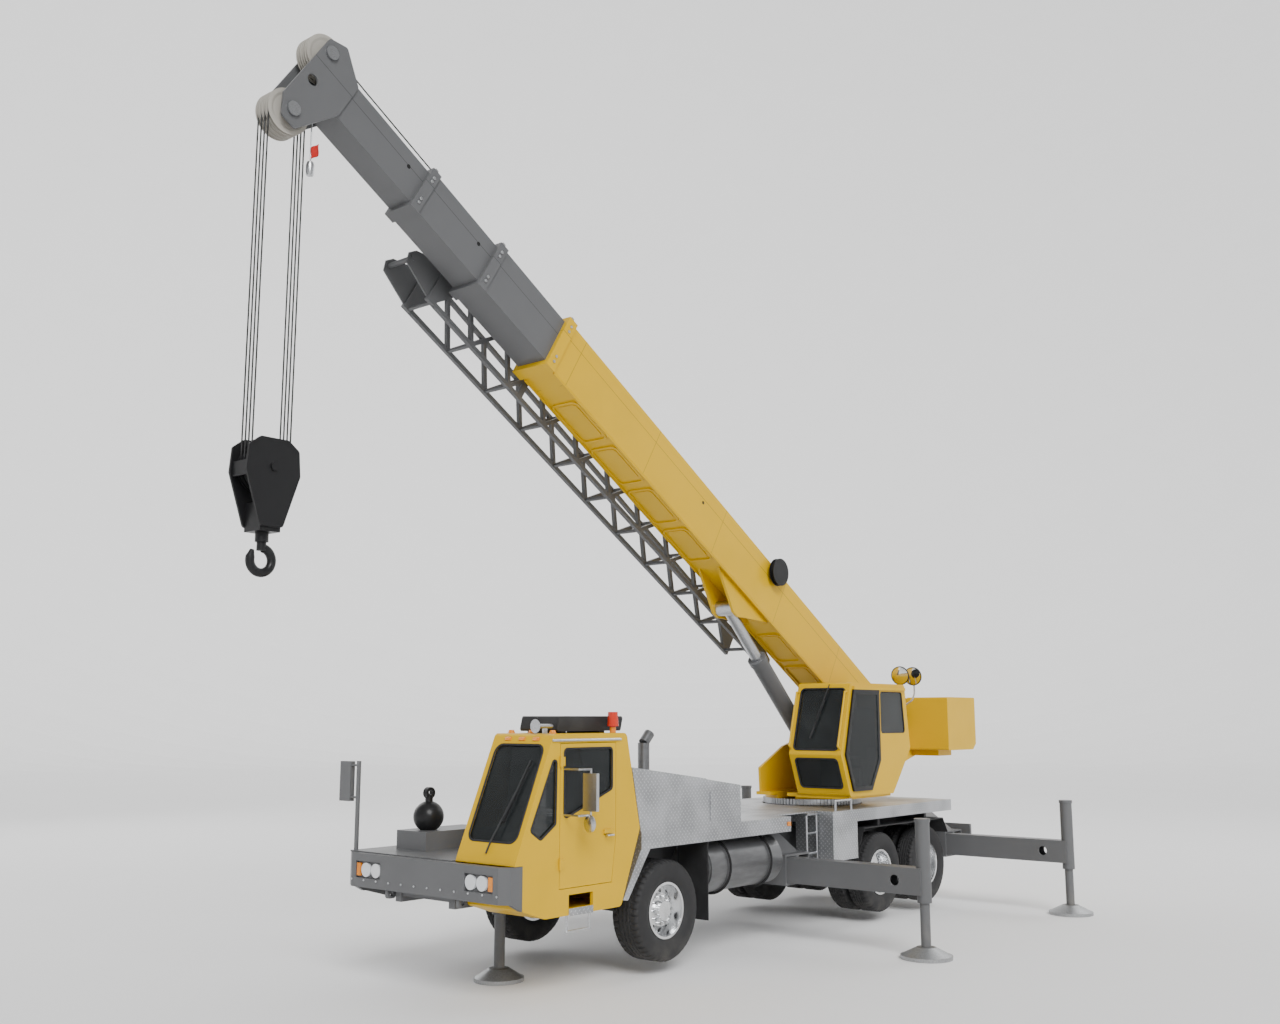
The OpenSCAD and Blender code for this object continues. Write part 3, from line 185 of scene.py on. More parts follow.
class Finish:
    """One material: a Principled shader and the nodes that feed it."""

    def __init__(self, name, **constants):
        self.material = bpy.data.materials.new(name)
        self.material.use_nodes = True
        self.tree = self.material.node_tree
        self.shader = self.tree.nodes["Principled BSDF"]
        for key, value in constants.items():
            self.shader.inputs[key.replace("_", " ")].default_value = value
        self.place = self.node("ShaderNodeTexCoord", {}, {}, "Object")
        split = self.node("ShaderNodeSeparateXYZ", {}, {0: self.place}, None)
        self.x, self.y, self.z = (Value(self, out) for out in split.outputs)

    def node(self, kind, settings, inputs, out=0):
        """Adds a node with its settings and sockets; gives the named output, or the node for None."""
        n = self.tree.nodes.new(kind)
        for key, value in settings.items():
            setattr(n, key, value)
        for key, value in inputs.items():
            if isinstance(value, Value):
                self.tree.links.new(value.socket, n.inputs[key])
            else:
                n.inputs[key].default_value = value
        return n if out is None else Value(self, n.outputs[out])

    def noise(self, scale, detail=3.0, rough=0.55, stretch=(1, 1, 1)):
        """Noise of Object coordinates, stretched by three factors."""
        at = self.node("ShaderNodeMapping", {}, {0: self.place, 3: stretch})
        return self.node("ShaderNodeTexNoise", {},
                         {"Vector": at, "Scale": scale, "Detail": detail, "Roughness": rough})

    def cells(self, scale):
        """Distance to the nearest of scattered points, scale of them to the metre."""
        return self.node("ShaderNodeTexVoronoi", {"feature": "F1"},
                         {"Vector": self.place, "Scale": scale}, "Distance")

    def ramp(self, value, low, high, a=0.0, b=1.0):
        """Value mapped smoothly from low..high to a..b."""
        return self.node("ShaderNodeMapRange", {"interpolation_type": "SMOOTHSTEP"},
                         {"Value": value, "From Min": low, "From Max": high, "To Min": a, "To Max": b})

    def mix(self, share, a, b):
        """Colour a where share is 0 and b where it is 1."""
        wide = [c if isinstance(c, Value) else (*c[:3], 1.0) for c in (a, b)]
        return self.node("ShaderNodeMix", {"data_type": "RGBA"}, {0: share, 6: wide[0], 7: wide[1]}, 2)

    def feed(self, **links):
        """Links values to the shader's sockets."""
        for key, value in links.items():
            self.tree.links.new(value.socket, self.shader.inputs[key.replace("_", " ")])
        return self

    def bump(self, height, depth, strength=1.0):
        """Height times depth in metres, as the shader's normal."""
        skin = {"Strength": strength, "Distance": depth, "Height": height}
        return self.feed(Normal=self.node("ShaderNodeBump", {}, skin))


def dusted(finish, colour, dust, reach=0.55, share=0.45):
    """Paint that fades in soft patches and gathers dust towards the ground."""
    tone = tuple(c * 0.82 for c in colour)
    patch = finish.ramp(finish.noise(1.1, 4.0), 0.4, 0.72)
    base = finish.mix(patch * 0.35, colour, tone)
    near_ground = finish.ramp(finish.z, 0.0, reach, 1.0, 0.0)
    low = near_ground * finish.ramp(finish.noise(5.0, 5.0, 0.65), 0.35, 0.7) * share
    return finish.mix(low, base, dust), patch, low


def paint(name, colour, dust, rough, coat):
    """Sprayed paint: patches, dust low down and a faint orange-peel skin."""
    f = Finish(name, Coat_Roughness=0.1, IOR=1.5, Specular_IOR_Level=0.22, Coat_Weight=coat)
    base, patch, low = dusted(f, colour, dust, 0.7, 0.3)
    f.feed(Base_Color=base, Roughness=rough + patch * 0.08 + low * 0.4)
    return f.bump(f.noise(130.0, 2.0), 0.0006, 0.25).material


def boom_paint(name, colour, dust, coat, seam, plate, plug, sheaves=()):
    """Boom paint: a weld line at height seam, plate joints every plate metres, a plug hole, pale sheaves.

    s and t are the distances along the boom and above its pivot line.
    """
    f = Finish(name, Coat_Roughness=0.1, Specular_IOR_Level=0.22, Coat_Weight=coat)
    base, patch, low = dusted(f, colour, dust)
    s = f.x * ALONG[0] + f.z * ALONG[2] - float(PIVOT @ ALONG)
    t = f.x * ABOVE[0] + f.z * ABOVE[2] - float(PIVOT @ ABOVE)
    weld = (t > seam - 0.004) * (t < seam + 0.004)
    joint = s.math("MODULO", plate) < 0.009
    hole = ((s - plug[0]).squared() + (t - plug[1]).squared()) < 0.0006
    on_side = f.y.squared() > 0.023
    mark = (weld * 0.5).math("MAXIMUM", joint * 0.4).math("MAXIMUM", hole * 0.95) * on_side
    tone = f.mix(mark, base, (0.004, 0.004, 0.004))
    for s0, t0, reach in sheaves:
        near = (((s - s0).squared() + (t - t0).squared()) < 0.0545) * (f.y.squared() < reach * reach)
        tone = f.mix(near, tone, (0.4, 0.38, 0.34))
    f.feed(Base_Color=tone, Roughness=0.32 + patch * 0.08 + low * 0.4)
    return f.bump(f.noise(130.0, 2.0) - mark, 0.0008, 0.3).material


def lozenges(f, pitch):
    """Raised lozenges that lie crosswise in alternate cells, on whichever plane the face is nearest to.

    Height 1 - (a/0.42)^2 - (b/0.15)^2 in a cell turned by 45 degrees, a and b swapped in every other cell.
    """
    facing = f.node("ShaderNodeSeparateXYZ", {}, {0: f.node("ShaderNodeTexCoord", {}, {}, "Normal")}, None)
    ny, nz = (Value(f, facing.outputs[i]).math("ABSOLUTE") > 0.7 for i in (1, 2))
    end_on = (1 - nz) * (1 - ny)
    p = f.x * (1 - end_on) + f.y * end_on
    q = f.y * nz + f.z * (1 - nz)
    u, v = (p + q) / (pitch * 1.414), (p - q) / (pitch * 1.414)
    fu, fv = u.math("FLOOR"), v.math("FLOOR")
    odd = (fu + fv).math("PINGPONG", 1.0)
    a, b = u - fu - 0.5, v - fv - 0.5
    along, across = a * (1 - odd) + b * odd, b * (1 - odd) + a * odd
    hill = 1 - (along / 0.42).squared() - (across / 0.15).squared()
    return hill.math("MAXIMUM", 0.0)


def make_finishes(tint, pitch):
    """All materials of the crane by name."""
    m = {}
    m["yellow"] = paint("yellow_gloss_paint", tint.yellow, tint.dust, 0.3, 0.08)
    m["grey"] = paint("grey_satin_paint", tint.grey, tint.dust, 0.42, 0.12)
    m["black"] = paint("black_satin_paint", tint.black, tint.dust, 0.4, 0.1)
    m["base_boom"] = boom_paint("base_boom_yellow", tint.yellow, tint.dust, 0.08, 0.21, 1.64, (5.4, 0.16))
    unjointed = 40.0
    m["section"] = boom_paint("boom_section_grey", tint.grey, tint.dust, 0.05, 0.15, unjointed, (10.06, 0.14))
    sheaves = ((*HEAD, 0.112), (*TOP_SHEAVE, 0.1))
    m["head"] = boom_paint("boom_head_grey", tint.grey, tint.dust, 0.05, 0.13, unjointed, (11.2, 0.12),
                           sheaves)
    m["leg"] = leg_finish(tint)
    m["plate"] = plate_finish(tint, pitch)
    metal_finishes(m)
    f = Finish("tyre_rubber", IOR=1.5)
    base, patch, _ = dusted(f, tint.rubber, tint.dust, 0.5, 0.22)
    f.feed(Base_Color=base, Roughness=0.68 + patch * 0.14)
    m["rubber"] = f.bump(f.noise(220.0, 3.0), 0.0012, 0.35).material
    f = Finish("black_moulded_plastic", IOR=1.46)
    pebble = f.cells(420.0)
    fade = f.ramp(f.noise(3.0), 0.4, 0.7)
    f.feed(Base_Color=f.mix(fade, (0.018, 0.018, 0.019), (0.03, 0.03, 0.031)), Roughness=0.48 + pebble * 0.2)
    m["plastic"] = f.bump(pebble, 0.0008, 0.4).material
    f = Finish("tinted_glass", Roughness=0.04, IOR=1.5, Specular_IOR_Level=0.6)
    film = f.ramp(f.noise(2.4, 4.0), 0.4, 0.75)
    f.feed(Base_Color=f.mix(film * 0.4, tint.glass, (0.04, 0.045, 0.046)), Alpha=0.76 + film * 0.06)
    m["glass"] = f.material
    m["lens"] = lens_finish()
    m["seat"] = seat_finish()
    m["drive_door"] = glazed("driver_door_finish", tint, tint.yellow, 1.1955, 1.2045)
    m["slide_door"] = glazed("sliding_door_finish", tint, tint.black, 1.1945, 1.2055)
    f = Finish("signal_red_paint", IOR=1.5)
    fade = f.ramp(f.noise(9.0), 0.4, 0.7) * 0.5
    f.feed(Base_Color=f.mix(fade, (0.62, 0.02, 0.015), (0.4, 0.02, 0.015)),
           Roughness=0.35 + f.noise(20.0) * 0.1)
    m["red"] = f.bump(f.noise(130.0), 0.0005, 0.2).material
    return m


def metal_finishes(m):
    """Bare metals: each fades between two tones, with a grain in its roughness."""
    f = Finish("polished_alloy", Metallic=1.0)
    streak = f.noise(60.0, 2.0, 0.5, (1.0, 6.0, 1.0))
    fade = f.ramp(f.noise(7.0, 4.0), 0.45, 0.75) * 0.5
    f.feed(Base_Color=f.mix(fade, (0.8, 0.81, 0.82), (0.5, 0.5, 0.5)), Roughness=0.16 + streak * 0.14)
    m["alloy"] = f.bump(streak, 0.0004, 0.2).material
    f = Finish("satin_tank_metal", Metallic=0.6)
    stain = f.ramp(f.noise(3.0, 5.0, 0.6, (0.5, 1.0, 2.0)), 0.35, 0.7)
    f.feed(Base_Color=f.mix(stain, (0.17, 0.173, 0.178), (0.12, 0.121, 0.124)), Roughness=0.34 + stain * 0.12)
    m["tank"] = f.bump(f.noise(60.0, 3.0), 0.0005, 0.2).material
    f = Finish("bright_steel", Metallic=1.0)
    grain = f.noise(40.0, 3.0, 0.6, (1.0, 1.0, 9.0))
    fade = f.ramp(grain, 0.3, 0.75)
    f.feed(Base_Color=f.mix(fade, (0.62, 0.63, 0.65), (0.4, 0.41, 0.42)), Roughness=0.2 + grain * 0.2)
    m["steel"] = f.bump(grain, 0.0004, 0.25).material
    f = Finish("wire_rope_steel", Metallic=0.55)
    grease = f.ramp(f.noise(14.0, 4.0), 0.35, 0.65)
    f.feed(Base_Color=f.mix(grease, (0.05, 0.05, 0.052), (0.02, 0.019, 0.018)),
           Roughness=0.38 + grease * 0.25)
    m["rope"] = f.bump(f.noise(900.0, 1.0, 0.5, (1.0, 1.0, 0.3)), 0.0006, 0.5).material
    f = Finish("mirror_glass", Metallic=1.0)
    fade = f.ramp(f.noise(4.0), 0.4, 0.7) * 0.3
    f.feed(Base_Color=f.mix(fade, (0.85, 0.87, 0.88), (0.7, 0.72, 0.72)),
           Roughness=0.03 + f.noise(8.0) * 0.04)
    m["mirror"] = f.material


def leg_finish(tint):
    """Jack legs: grey paint above and a galvanised, spangled float below."""
    f = Finish("leg_paint_zinc_float", Specular_IOR_Level=0.3)
    base, _, low = dusted(f, tint.grey, tint.dust)
    zinc = f.z < 0.128
    spangle = f.mix(f.cells(55.0), (0.42, 0.43, 0.44), (0.3, 0.305, 0.31))
    f.feed(Base_Color=f.mix(zinc, base, spangle), Metallic=zinc * 0.7,
           Roughness=0.42 - zinc * 0.06 + low * 0.2)
    return f.bump(f.noise(130.0, 2.0), 0.0006, 0.25).material


def plate_finish(tint, pitch):
    """Aluminium tread plate: lozenge tops painted lighter as a painted highlight, on a ground that varies in
    wear.
    """
    f = Finish("aluminium_tread_plate", Metallic=0.9, IOR=1.45)
    hill = lozenges(f, pitch)
    wear = f.ramp(f.noise(2.2, 4.0), 0.35, 0.7)
    ground = f.mix(wear, tint.aluminium, tuple(c * 0.72 for c in tint.aluminium))
    # Lozenge tops mixed towards pale grey: a painted highlight that stands for their sparkle.
    f.feed(Base_Color=f.mix(hill * 0.7, ground, (0.86, 0.87, 0.88)),
           Roughness=0.42 - hill * 0.16 + wear * 0.1)
    return f.bump(hill, 0.0022, 0.9).material


def lens_finish():
    """Lamp plastic, fluted: clear headlamps, red at the tail and on the roof, amber elsewhere."""
    f = Finish("lamp_plastic", IOR=1.49, Roughness=0.14)
    front, tail, roof = f.x > 7.25, f.x < -2.6, f.z > 2.64
    head = front * (f.y.squared() < 0.93)
    amber = f.mix(f.ramp(f.noise(12.0), 0.3, 0.7) * 0.4, (0.85, 0.27, 0.01), (0.6, 0.17, 0.01))
    shade = f.mix(tail, f.mix(roof, amber, (0.6, 0.03, 0.01)), (0.5, 0.01, 0.01))
    f.feed(Base_Color=f.mix(head, shade, (0.72, 0.74, 0.76)))
    return f.bump(((f.y + f.x) * 900.0).math("SINE"), 0.0012, 0.5).material


def seat_finish():
    """Woven seat cloth: two crossed threads."""
    f = Finish("seat_cloth", IOR=1.4, Sheen_Weight=0.3)
    warp, weft = ((f.x + f.z) * 1400.0).math("SINE"), (f.y * 1400.0).math("SINE")
    weave = warp * weft * 0.5 + 0.5
    f.feed(Base_Color=f.mix(weave, (0.02, 0.021, 0.024), (0.05, 0.052, 0.058)), Roughness=0.85 - weave * 0.1)
    return f.bump(weave, 0.001, 0.5).material


def glazed(name, tint, colour, y0, y1):
    """A door's paint, with its pane taken as glass between two sideways limits."""
    f = Finish(name, IOR=1.5, Specular_IOR_Level=0.3)
    pane = (f.y > y0) * (f.y < y1)
    base, patch, _ = dusted(f, colour, tint.dust, 0.7, 0.3)
    f.feed(Base_Color=f.mix(pane, base, tint.glass), Alpha=1 - pane * 0.26,
           Roughness=(0.3 + patch * 0.08) * (1 - pane) + pane * 0.05)
    return f.bump(f.noise(130.0, 2.0) * (1 - pane), 0.0005, 0.2).material


def quads(n, m, ring_n, ring_m):
    """Faces of an n by m grid, closed along either way."""
    i, j = np.arange(n if ring_n else n - 1)[:, None], np.arange(m if ring_m else m - 1)[None, :]
    k, l = (i + 1) % n, (j + 1) % m
    return np.stack(np.broadcast_arrays(i * m + j, k * m + j, k * m + l, i * m + l), -1).reshape(-1, 4)


# Material names by finish, filled when the finishes are made
FINISH_NAMES = {}


class Shell:
    """Vertices and faces of one piece, gathered from several surfaces."""

    def __init__(self):
        self.verts, self.faces, self.count = [], [], 0

    def grid(self, points, ring_n=False, ring_m=False, caps=False):
        """Adds a grid of points (n, m, 3); caps closes the first and last rows."""
        n, m = points.shape[:2]
        self.faces += (self.count + quads(n, m, ring_n, ring_m)).tolist()
        if caps:
            self.faces += (self.count + np.array([[0], [(n - 1) * m]]) + np.arange(m)).tolist()
        self.verts.append(points.reshape(-1, 3))
        self.count += n * m
        return self

    def loft(self, rows):
        """Adds a solid whose rows of points are closed outlines."""
        return self.grid(np.asarray(rows), False, True, True)

    def sweep(self, path, profile, up, ring=False):
        """Profile carried along a path: path + a * side + b * rise, where side = path direction x up."""
        path, profile, up = np.asarray(path, float), np.asarray(profile, float), np.asarray(up, float)
        go = np.roll(path, -1, 0) - np.roll(path, 1, 0) if ring else np.gradient(path, axis=0)
        go /= np.linalg.norm(go, axis=1, keepdims=True)
        side = np.cross(go, up)
        side /= np.linalg.norm(side, axis=1, keepdims=True)
        rise = np.cross(side, go)
        pts = path[:, None] + profile[None, :, :1] * side[:, None] + profile[None, :, 1:] * rise[:, None]
        return self.grid(pts, ring, True, not ring)

    def heads(self, centres, axis, radius, height):
        """Hexagon bolt heads: rings of six points, wide at the foot and chamfered at the top."""
        axis = unit(axis)
        a = unit(np.cross(axis, [0.31, 0.83, 0.47]))
        b = np.cross(axis, a)
        turn = np.arange(6) * TAU / 6
        ring = np.cos(turn)[:, None] * a + np.sin(turn)[:, None] * b
        level = np.array([[1.0, 0.0], [1.0, 0.75], [0.8, 1.0]])
        one = level[:, None, :1] * radius * ring[None] + level[:, None, 1:] * height * axis
        for c in centres:
            self.loft(one + c)
        return self

    def make(self, name, finish, body, swaps=(), smooth=True, blend=None, slot=None):
        """The finished object, turned outwards, with its finish, riding on its body, or with blend kept where
        it lies on no body.
        """
        mesh = bpy.data.meshes.new(name)
        mesh.from_pydata(np.concatenate(self.verts).tolist(), [], self.faces)
        bm = bmesh.new()
        bm.from_mesh(mesh)
        bmesh.ops.recalc_face_normals(bm, faces=bm.faces)
        bm.to_mesh(mesh)
        bm.free()
        mesh.polygons.foreach_set("use_smooth", [smooth] * len(mesh.polygons))
        if smooth:
            mesh.set_sharp_from_angle(angle=np.radians(38))
        mesh.materials.append(bpy.data.materials[FINISH_NAMES[finish]])
        piece = bpy.data.objects.new(name, mesh)
        bpy.context.scene.collection.objects.link(piece)
        if blend:
            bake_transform(piece)
        else:
            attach(piece, body)
        if swaps:
            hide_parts(*swaps)
        return piece


def circle(r, n=12):
    """Round profile of n points."""
    a = np.arange(n) * TAU / n
    return np.stack([r * np.cos(a), r * np.sin(a)], -1)


def rectangle(x0, y0, x1, y1):
    """Corners of a rectangle, anticlockwise."""
    return [[x0, y0], [x1, y0], [x1, y1], [x0, y1]]


def rounded(corners, r, n=6):
    """Outline whose corners are arcs of radius r, each between its two tangent points."""
    p = np.asarray(corners, float)
    a, c = np.roll(p, 1, 0) - p, np.roll(p, -1, 0) - p
    u, w = a / np.linalg.norm(a, axis=1, keepdims=True), c / np.linalg.norm(c, axis=1, keepdims=True)
    h = np.arccos(np.clip((u * w).sum(1), -1, 1))[:, None] / 2
    mid = (u + w) / np.linalg.norm(u + w, axis=1, keepdims=True)
    m = p + mid * r / np.sin(h)
    s, e = p + u * r / np.tan(h) - m, p + w * r / np.tan(h) - m
    full = (np.pi - 2 * h)[:, None]
    f = np.linspace(0, 1, n)[None, :, None]
    arc = (np.sin((1 - f) * full) * s[:, None] + np.sin(f * full) * e[:, None]) / np.sin(full)
    return (m[:, None] + arc).reshape(-1, 2)


def polyline(points, step):
    """Points along straight legs, about step apart."""
    p = np.asarray(points, float)
    d = np.r_[0, np.cumsum(np.linalg.norm(np.diff(p, axis=0), axis=1))]
    at = np.linspace(0, d[-1], max(3, int(d[-1] / step) + 1))
    return np.stack([np.interp(at, d, p[:, k]) for k in range(p.shape[1])], -1)


def plaque(centre, outline, a, b, out, levels):
    """Raised plate: centre + lift * out + grow * (outline along a and b), one row for each (lift, grow)."""
    return [centre + out * lift + grow * (outline[:, :1] * a + outline[:, 1:] * b) for lift, grow in levels]


def spool(centre, a, b, around, y, radius, relief, pitch, core):
    """Wound cord about a sideways axis, closed by a narrower core at both ends.

    Radius + relief * |sin(pi * y / pitch + turn / 2)|, so the turns climb one pitch each time round.
    """
    turn = (np.arange(around) * TAU / around)[:, None]
    rad = radius + relief * np.abs(np.sin(np.pi * y / pitch + turn / 2))
    rad = np.pad(rad, ((0, 0), (1, 1)), constant_values=core)
    y = np.pad(y, 1, mode="edge")[None, :] + 0 * turn
    ring = (rad * np.cos(turn))[..., None] * a + (rad * np.sin(turn))[..., None] * b
    return centre + ring + y[..., None] * LEFT


def strand_rope(path, sizes):
    """Six-strand rope: radius dia/2 * (0.86 + 0.14 |cos 3(angle - 2 pi s / lay)|) along the path length s."""
    path = np.asarray(path, float)
    s = np.r_[0, np.cumsum(np.linalg.norm(np.diff(path, axis=0), axis=1))]
    go = np.gradient(path, axis=0)
    go /= np.linalg.norm(go, axis=1, keepdims=True)
    side = np.cross(go, LEFT)
    side /= np.linalg.norm(side, axis=1, keepdims=True)
    rise = np.cross(side, go)
    a = np.arange(18) * TAU / 18
    r = sizes.rope / 2 * (0.86 + 0.14 * np.abs(np.cos(3 * (a[None] - TAU * s[:, None] / sizes.lay))))
    ring = (r * np.cos(a))[..., None] * side[:, None] + (r * np.sin(a))[..., None] * rise[:, None]
    return path[:, None] + ring


def tyre_grid(d, w, groove, centre, lug):
    """Tyre: its section turned about the axle, with zigzag ring grooves and shoulder slots in the tread.

    Radius falls by the groove depth where the sideways distance to a zigzag line is small,
    or, near the shoulder, where cos(lug * angle) is high.
    """
    r = d / 2
    wall = r - BEAD
    side = np.array([
        [BEAD, 0.37], [BEAD + 0.012, 0.395], [BEAD + 0.026, 0.405], [BEAD + 0.04, 0.43],
        [BEAD + 0.3 * wall, 0.482], [BEAD + 0.45 * wall, 0.5], [BEAD + 0.6 * wall, 0.499], [r - 0.046, 0.485],
        [r - 0.026, 0.462], [r - 0.014, 0.43], [r - 0.004, 0.39], [r - 0.001, 0.37],
    ]) * [1, w]
    top = np.stack([np.full(41, r), np.linspace(0.36, -0.36, 41) * w], -1)
    section = np.concatenate([side, top, (side * [1, -1])[::-1], [[BEAD, -0.3 * w], [BEAD, 0.3 * w]]])
    turn = (np.arange(300) * TAU / 300)[:, None]
    rad, off = section[None, :, 0] + 0 * turn, section[None, :, 1] / w + 0 * turn
    wave = 0.022 * (2 / np.pi) * np.arcsin(np.sin(lug * turn))
    ring = np.min([np.abs(off - wave - c) for c in (-0.2, -0.07, 0.07, 0.2)], axis=0)
    cut = np.clip((0.022 - ring) / 0.008, 0, 1) * (np.abs(off) < 0.36)
    shoulder = np.clip((np.abs(off) - 0.24) / 0.02, 0, 1)
    slot = np.clip((np.cos(lug * turn + 0.6) - 0.55) / 0.15, 0, 1) * shoulder
    crown = np.clip((rad - (r - 0.03)) / 0.02, 0, 1)
    rad = rad - groove * np.maximum(cut, slot) * crown
    return np.stack([rad * np.cos(turn), off * w, rad * np.sin(turn)], -1) + np.asarray(centre, float)


class Piece(bpy.types.Operator):
    """Base of the crane's operators: hands over the sizes and colours."""

    bl_options = {"REGISTER"}

    def execute(self, context):
        """Builds the piece; an error stops the script."""
        self.build(context.scene.crane_sizes, context.scene.crane_paint)
        return {"FINISHED"}


class CRANE_OT_finishes(Piece):
    """Makes the finishes and puts one on every CAD node"""

    bl_idname = "crane.finishes"
    bl_label = "Paint and finishes"

    # Nodes that aren't listed are of rubber
    worn_by = {
        "yellow": "cab_shell turntable_frame counterweight operator_cab",
        "base_boom": "boom_base",
        "section": "boom_section_2 boom_section_3",
        "head": "boom_section_4",
        "leg": "jack_front_left jack_front_right jack_rear_left jack_rear_right front_jack_leg",
        "grey": "chassis_frame front_bumper front_deck beam_front_left beam_front_right"
                " beam_rear_left beam_rear_right lift_barrel stowed_jib",
        "tank": "tanks engine_exhaust",
        "plate": "engine_hood deck_plates",
        "alloy": "front_rim_left front_rim_right rear_rims_1_left rear_rims_1_right"
                 " rear_rims_2_left rear_rims_2_right",
        "steel": "slew_ring grab_rails door_mirror lift_rod",
        "black": "overhaul_ball axles knuckle_left knuckle_right hoist_drum cable_reel hook_block hook",
        "plastic": "cab_interior roof_unit operator_interior mud_guards",
        "glass": "cab_glass operator_glass",
        "lens": "lamps",
        "drive_door": "cab_door",
        "slide_door": "operator_door",
        "rope": "hoist_falls",
    }

    def build(self, sizes, tint):
        made = make_finishes(tint, sizes.lozenge)
        FINISH_NAMES.update({key: material.name for key, material in made.items()})
        dress = {node: made[key] for key, nodes in self.worn_by.items() for node in nodes.split()}
        for name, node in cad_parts.items():
            node.data.materials.clear()
            node.data.materials.append(dress.get(name, made["rubber"]))


class CRANE_OT_tyres(Piece):
    """Fits treaded tyres in place of the plain ones"""

    bl_idname = "crane.tyres"
    bl_label = "Tyres"

    def build(self, sizes, tint):
        for side, sign in SIDES:
            hub = (FRONT_X, sign * FRONT_Y, FRONT_Z)
            front = Shell().grid(tyre_grid(1.072, 0.385, sizes.groove, hub, 46), True, True)
            front.make("tyre_front_" + side, "rubber", "front_wheel_" + side, ["front_tyre_" + side],
                       slot="tyre_rubber")
            for axle, x in REAR_AXLES:
                pair = Shell()
                for y in (REAR_OUT, REAR_IN):
                    pair.grid(tyre_grid(1.054, 0.279, sizes.groove, (x, sign * y, REAR_Z), 52), True, True)
                name = f"{axle}_{side}"
                pair.make("tyres_rear_" + name, "rubber", "rear_wheels_" + name, ["rear_tyres_" + name],
                          slot="tyre_rubber")


class CRANE_OT_falls(Piece):
    """Reeves the hoist rope: falls, turns on the sheaves, drum coils and the lead along the boom"""

    bl_idname = "crane.falls"
    bl_label = "Hoist rope"

    def build(self, sizes, tint):
        self.reeve(sizes)
        legs = (
            ("boom", None, 0.2, 8.4),
            (None, ("boom", "section_2"), 8.4, 9.8),
            (None, ("section_2", "section_3"), 9.8, 10.93),
            (None, ("section_3", "section_4"), 10.93, 12.0),
        )
        for i, (body, pair, s0, s1) in enumerate(legs):
            path = boom_point(np.linspace(s0, s1, int((s1 - s0) / 0.02)), 0.0, LEAD)
            ends = (*pair, tuple(path[0]), tuple(path[-1])) if pair else None
            lead = Shell().loft(strand_rope(path, sizes))
            lead.make(f"rope_lead_{i + 1}", "rope", body, blend=ends)
        bow = np.linspace(np.pi / 2, -0.25, 40)[1:]
        s, t = TOP_SHEAVE
        over_top = boom_point(s + ROPE_BEND * np.cos(bow), 0.0, t + ROPE_BEND * np.sin(bow))
        start = boom_point(np.linspace(12.0, HEAD[0], 24), 0.0, np.linspace(LEAD, 0.505, 24))
        at_head = Shell().loft(strand_rope(np.concatenate([start, over_top]), sizes))
        at_head.make("rope_at_head", "rope", "section_4")
        coil = spool(DRUM, AHEAD, UP, 48, np.linspace(-0.243, 0.243, 190), 0.178, 0.009, 0.0165, 0.16)
        Shell().grid(coil, True).make("rope_on_drum", "rope", "upperworks")
        a0, a1 = DRUM + [0.06, 0.0, 0.185], boom_point(0.2, 0.0, LEAD)
        lead_in = Shell().loft(strand_rope(a0 + np.linspace(0, 1, 110)[:, None] * (a1 - a0), sizes))
        ends = ("upperworks", "boom", tuple(a0), tuple(a1))
        lead_in.make("rope_from_drum", "rope", None, blend=ends)

    @staticmethod
    def reeve(sizes):
        """Eight plumb falls, with half turns over the head sheaves and under the block's."""
        top = boom_point(HEAD[0], 0.0, HEAD[1])
        low = top - [0, 0, FALL]
        falls, over, under = Shell(), Shell(), Shell()
        drop = np.linspace(0, FALL, 300)
        half_turn = np.linspace(0, np.pi, 48)
        for k in (-1.5, -0.5, 0.5, 1.5):
            y = k * ROPE_GAP
            for side in (-ROPE_BEND, ROPE_BEND):
                line = np.stack([np.full(300, low[0] + side), np.full(300, y), low[2] + drop], -1)
                falls.loft(strand_rope(line, sizes))
            arc = np.stack([ROPE_BEND * np.cos(half_turn), np.full(48, y), ROPE_BEND * np.sin(half_turn)], -1)
            over.loft(strand_rope(arc + top, sizes))
            under.loft(strand_rope(arc * [1, 1, -1] + low, sizes))
        falls.make("rope_falls_lines", "rope", None, ["hoist_falls"],
                   blend=("rope_falls", "block", tuple(top), tuple(low)))
        over.make("rope_over_head", "rope", "rope_falls")
        under.make("rope_under_block", "rope", "block")


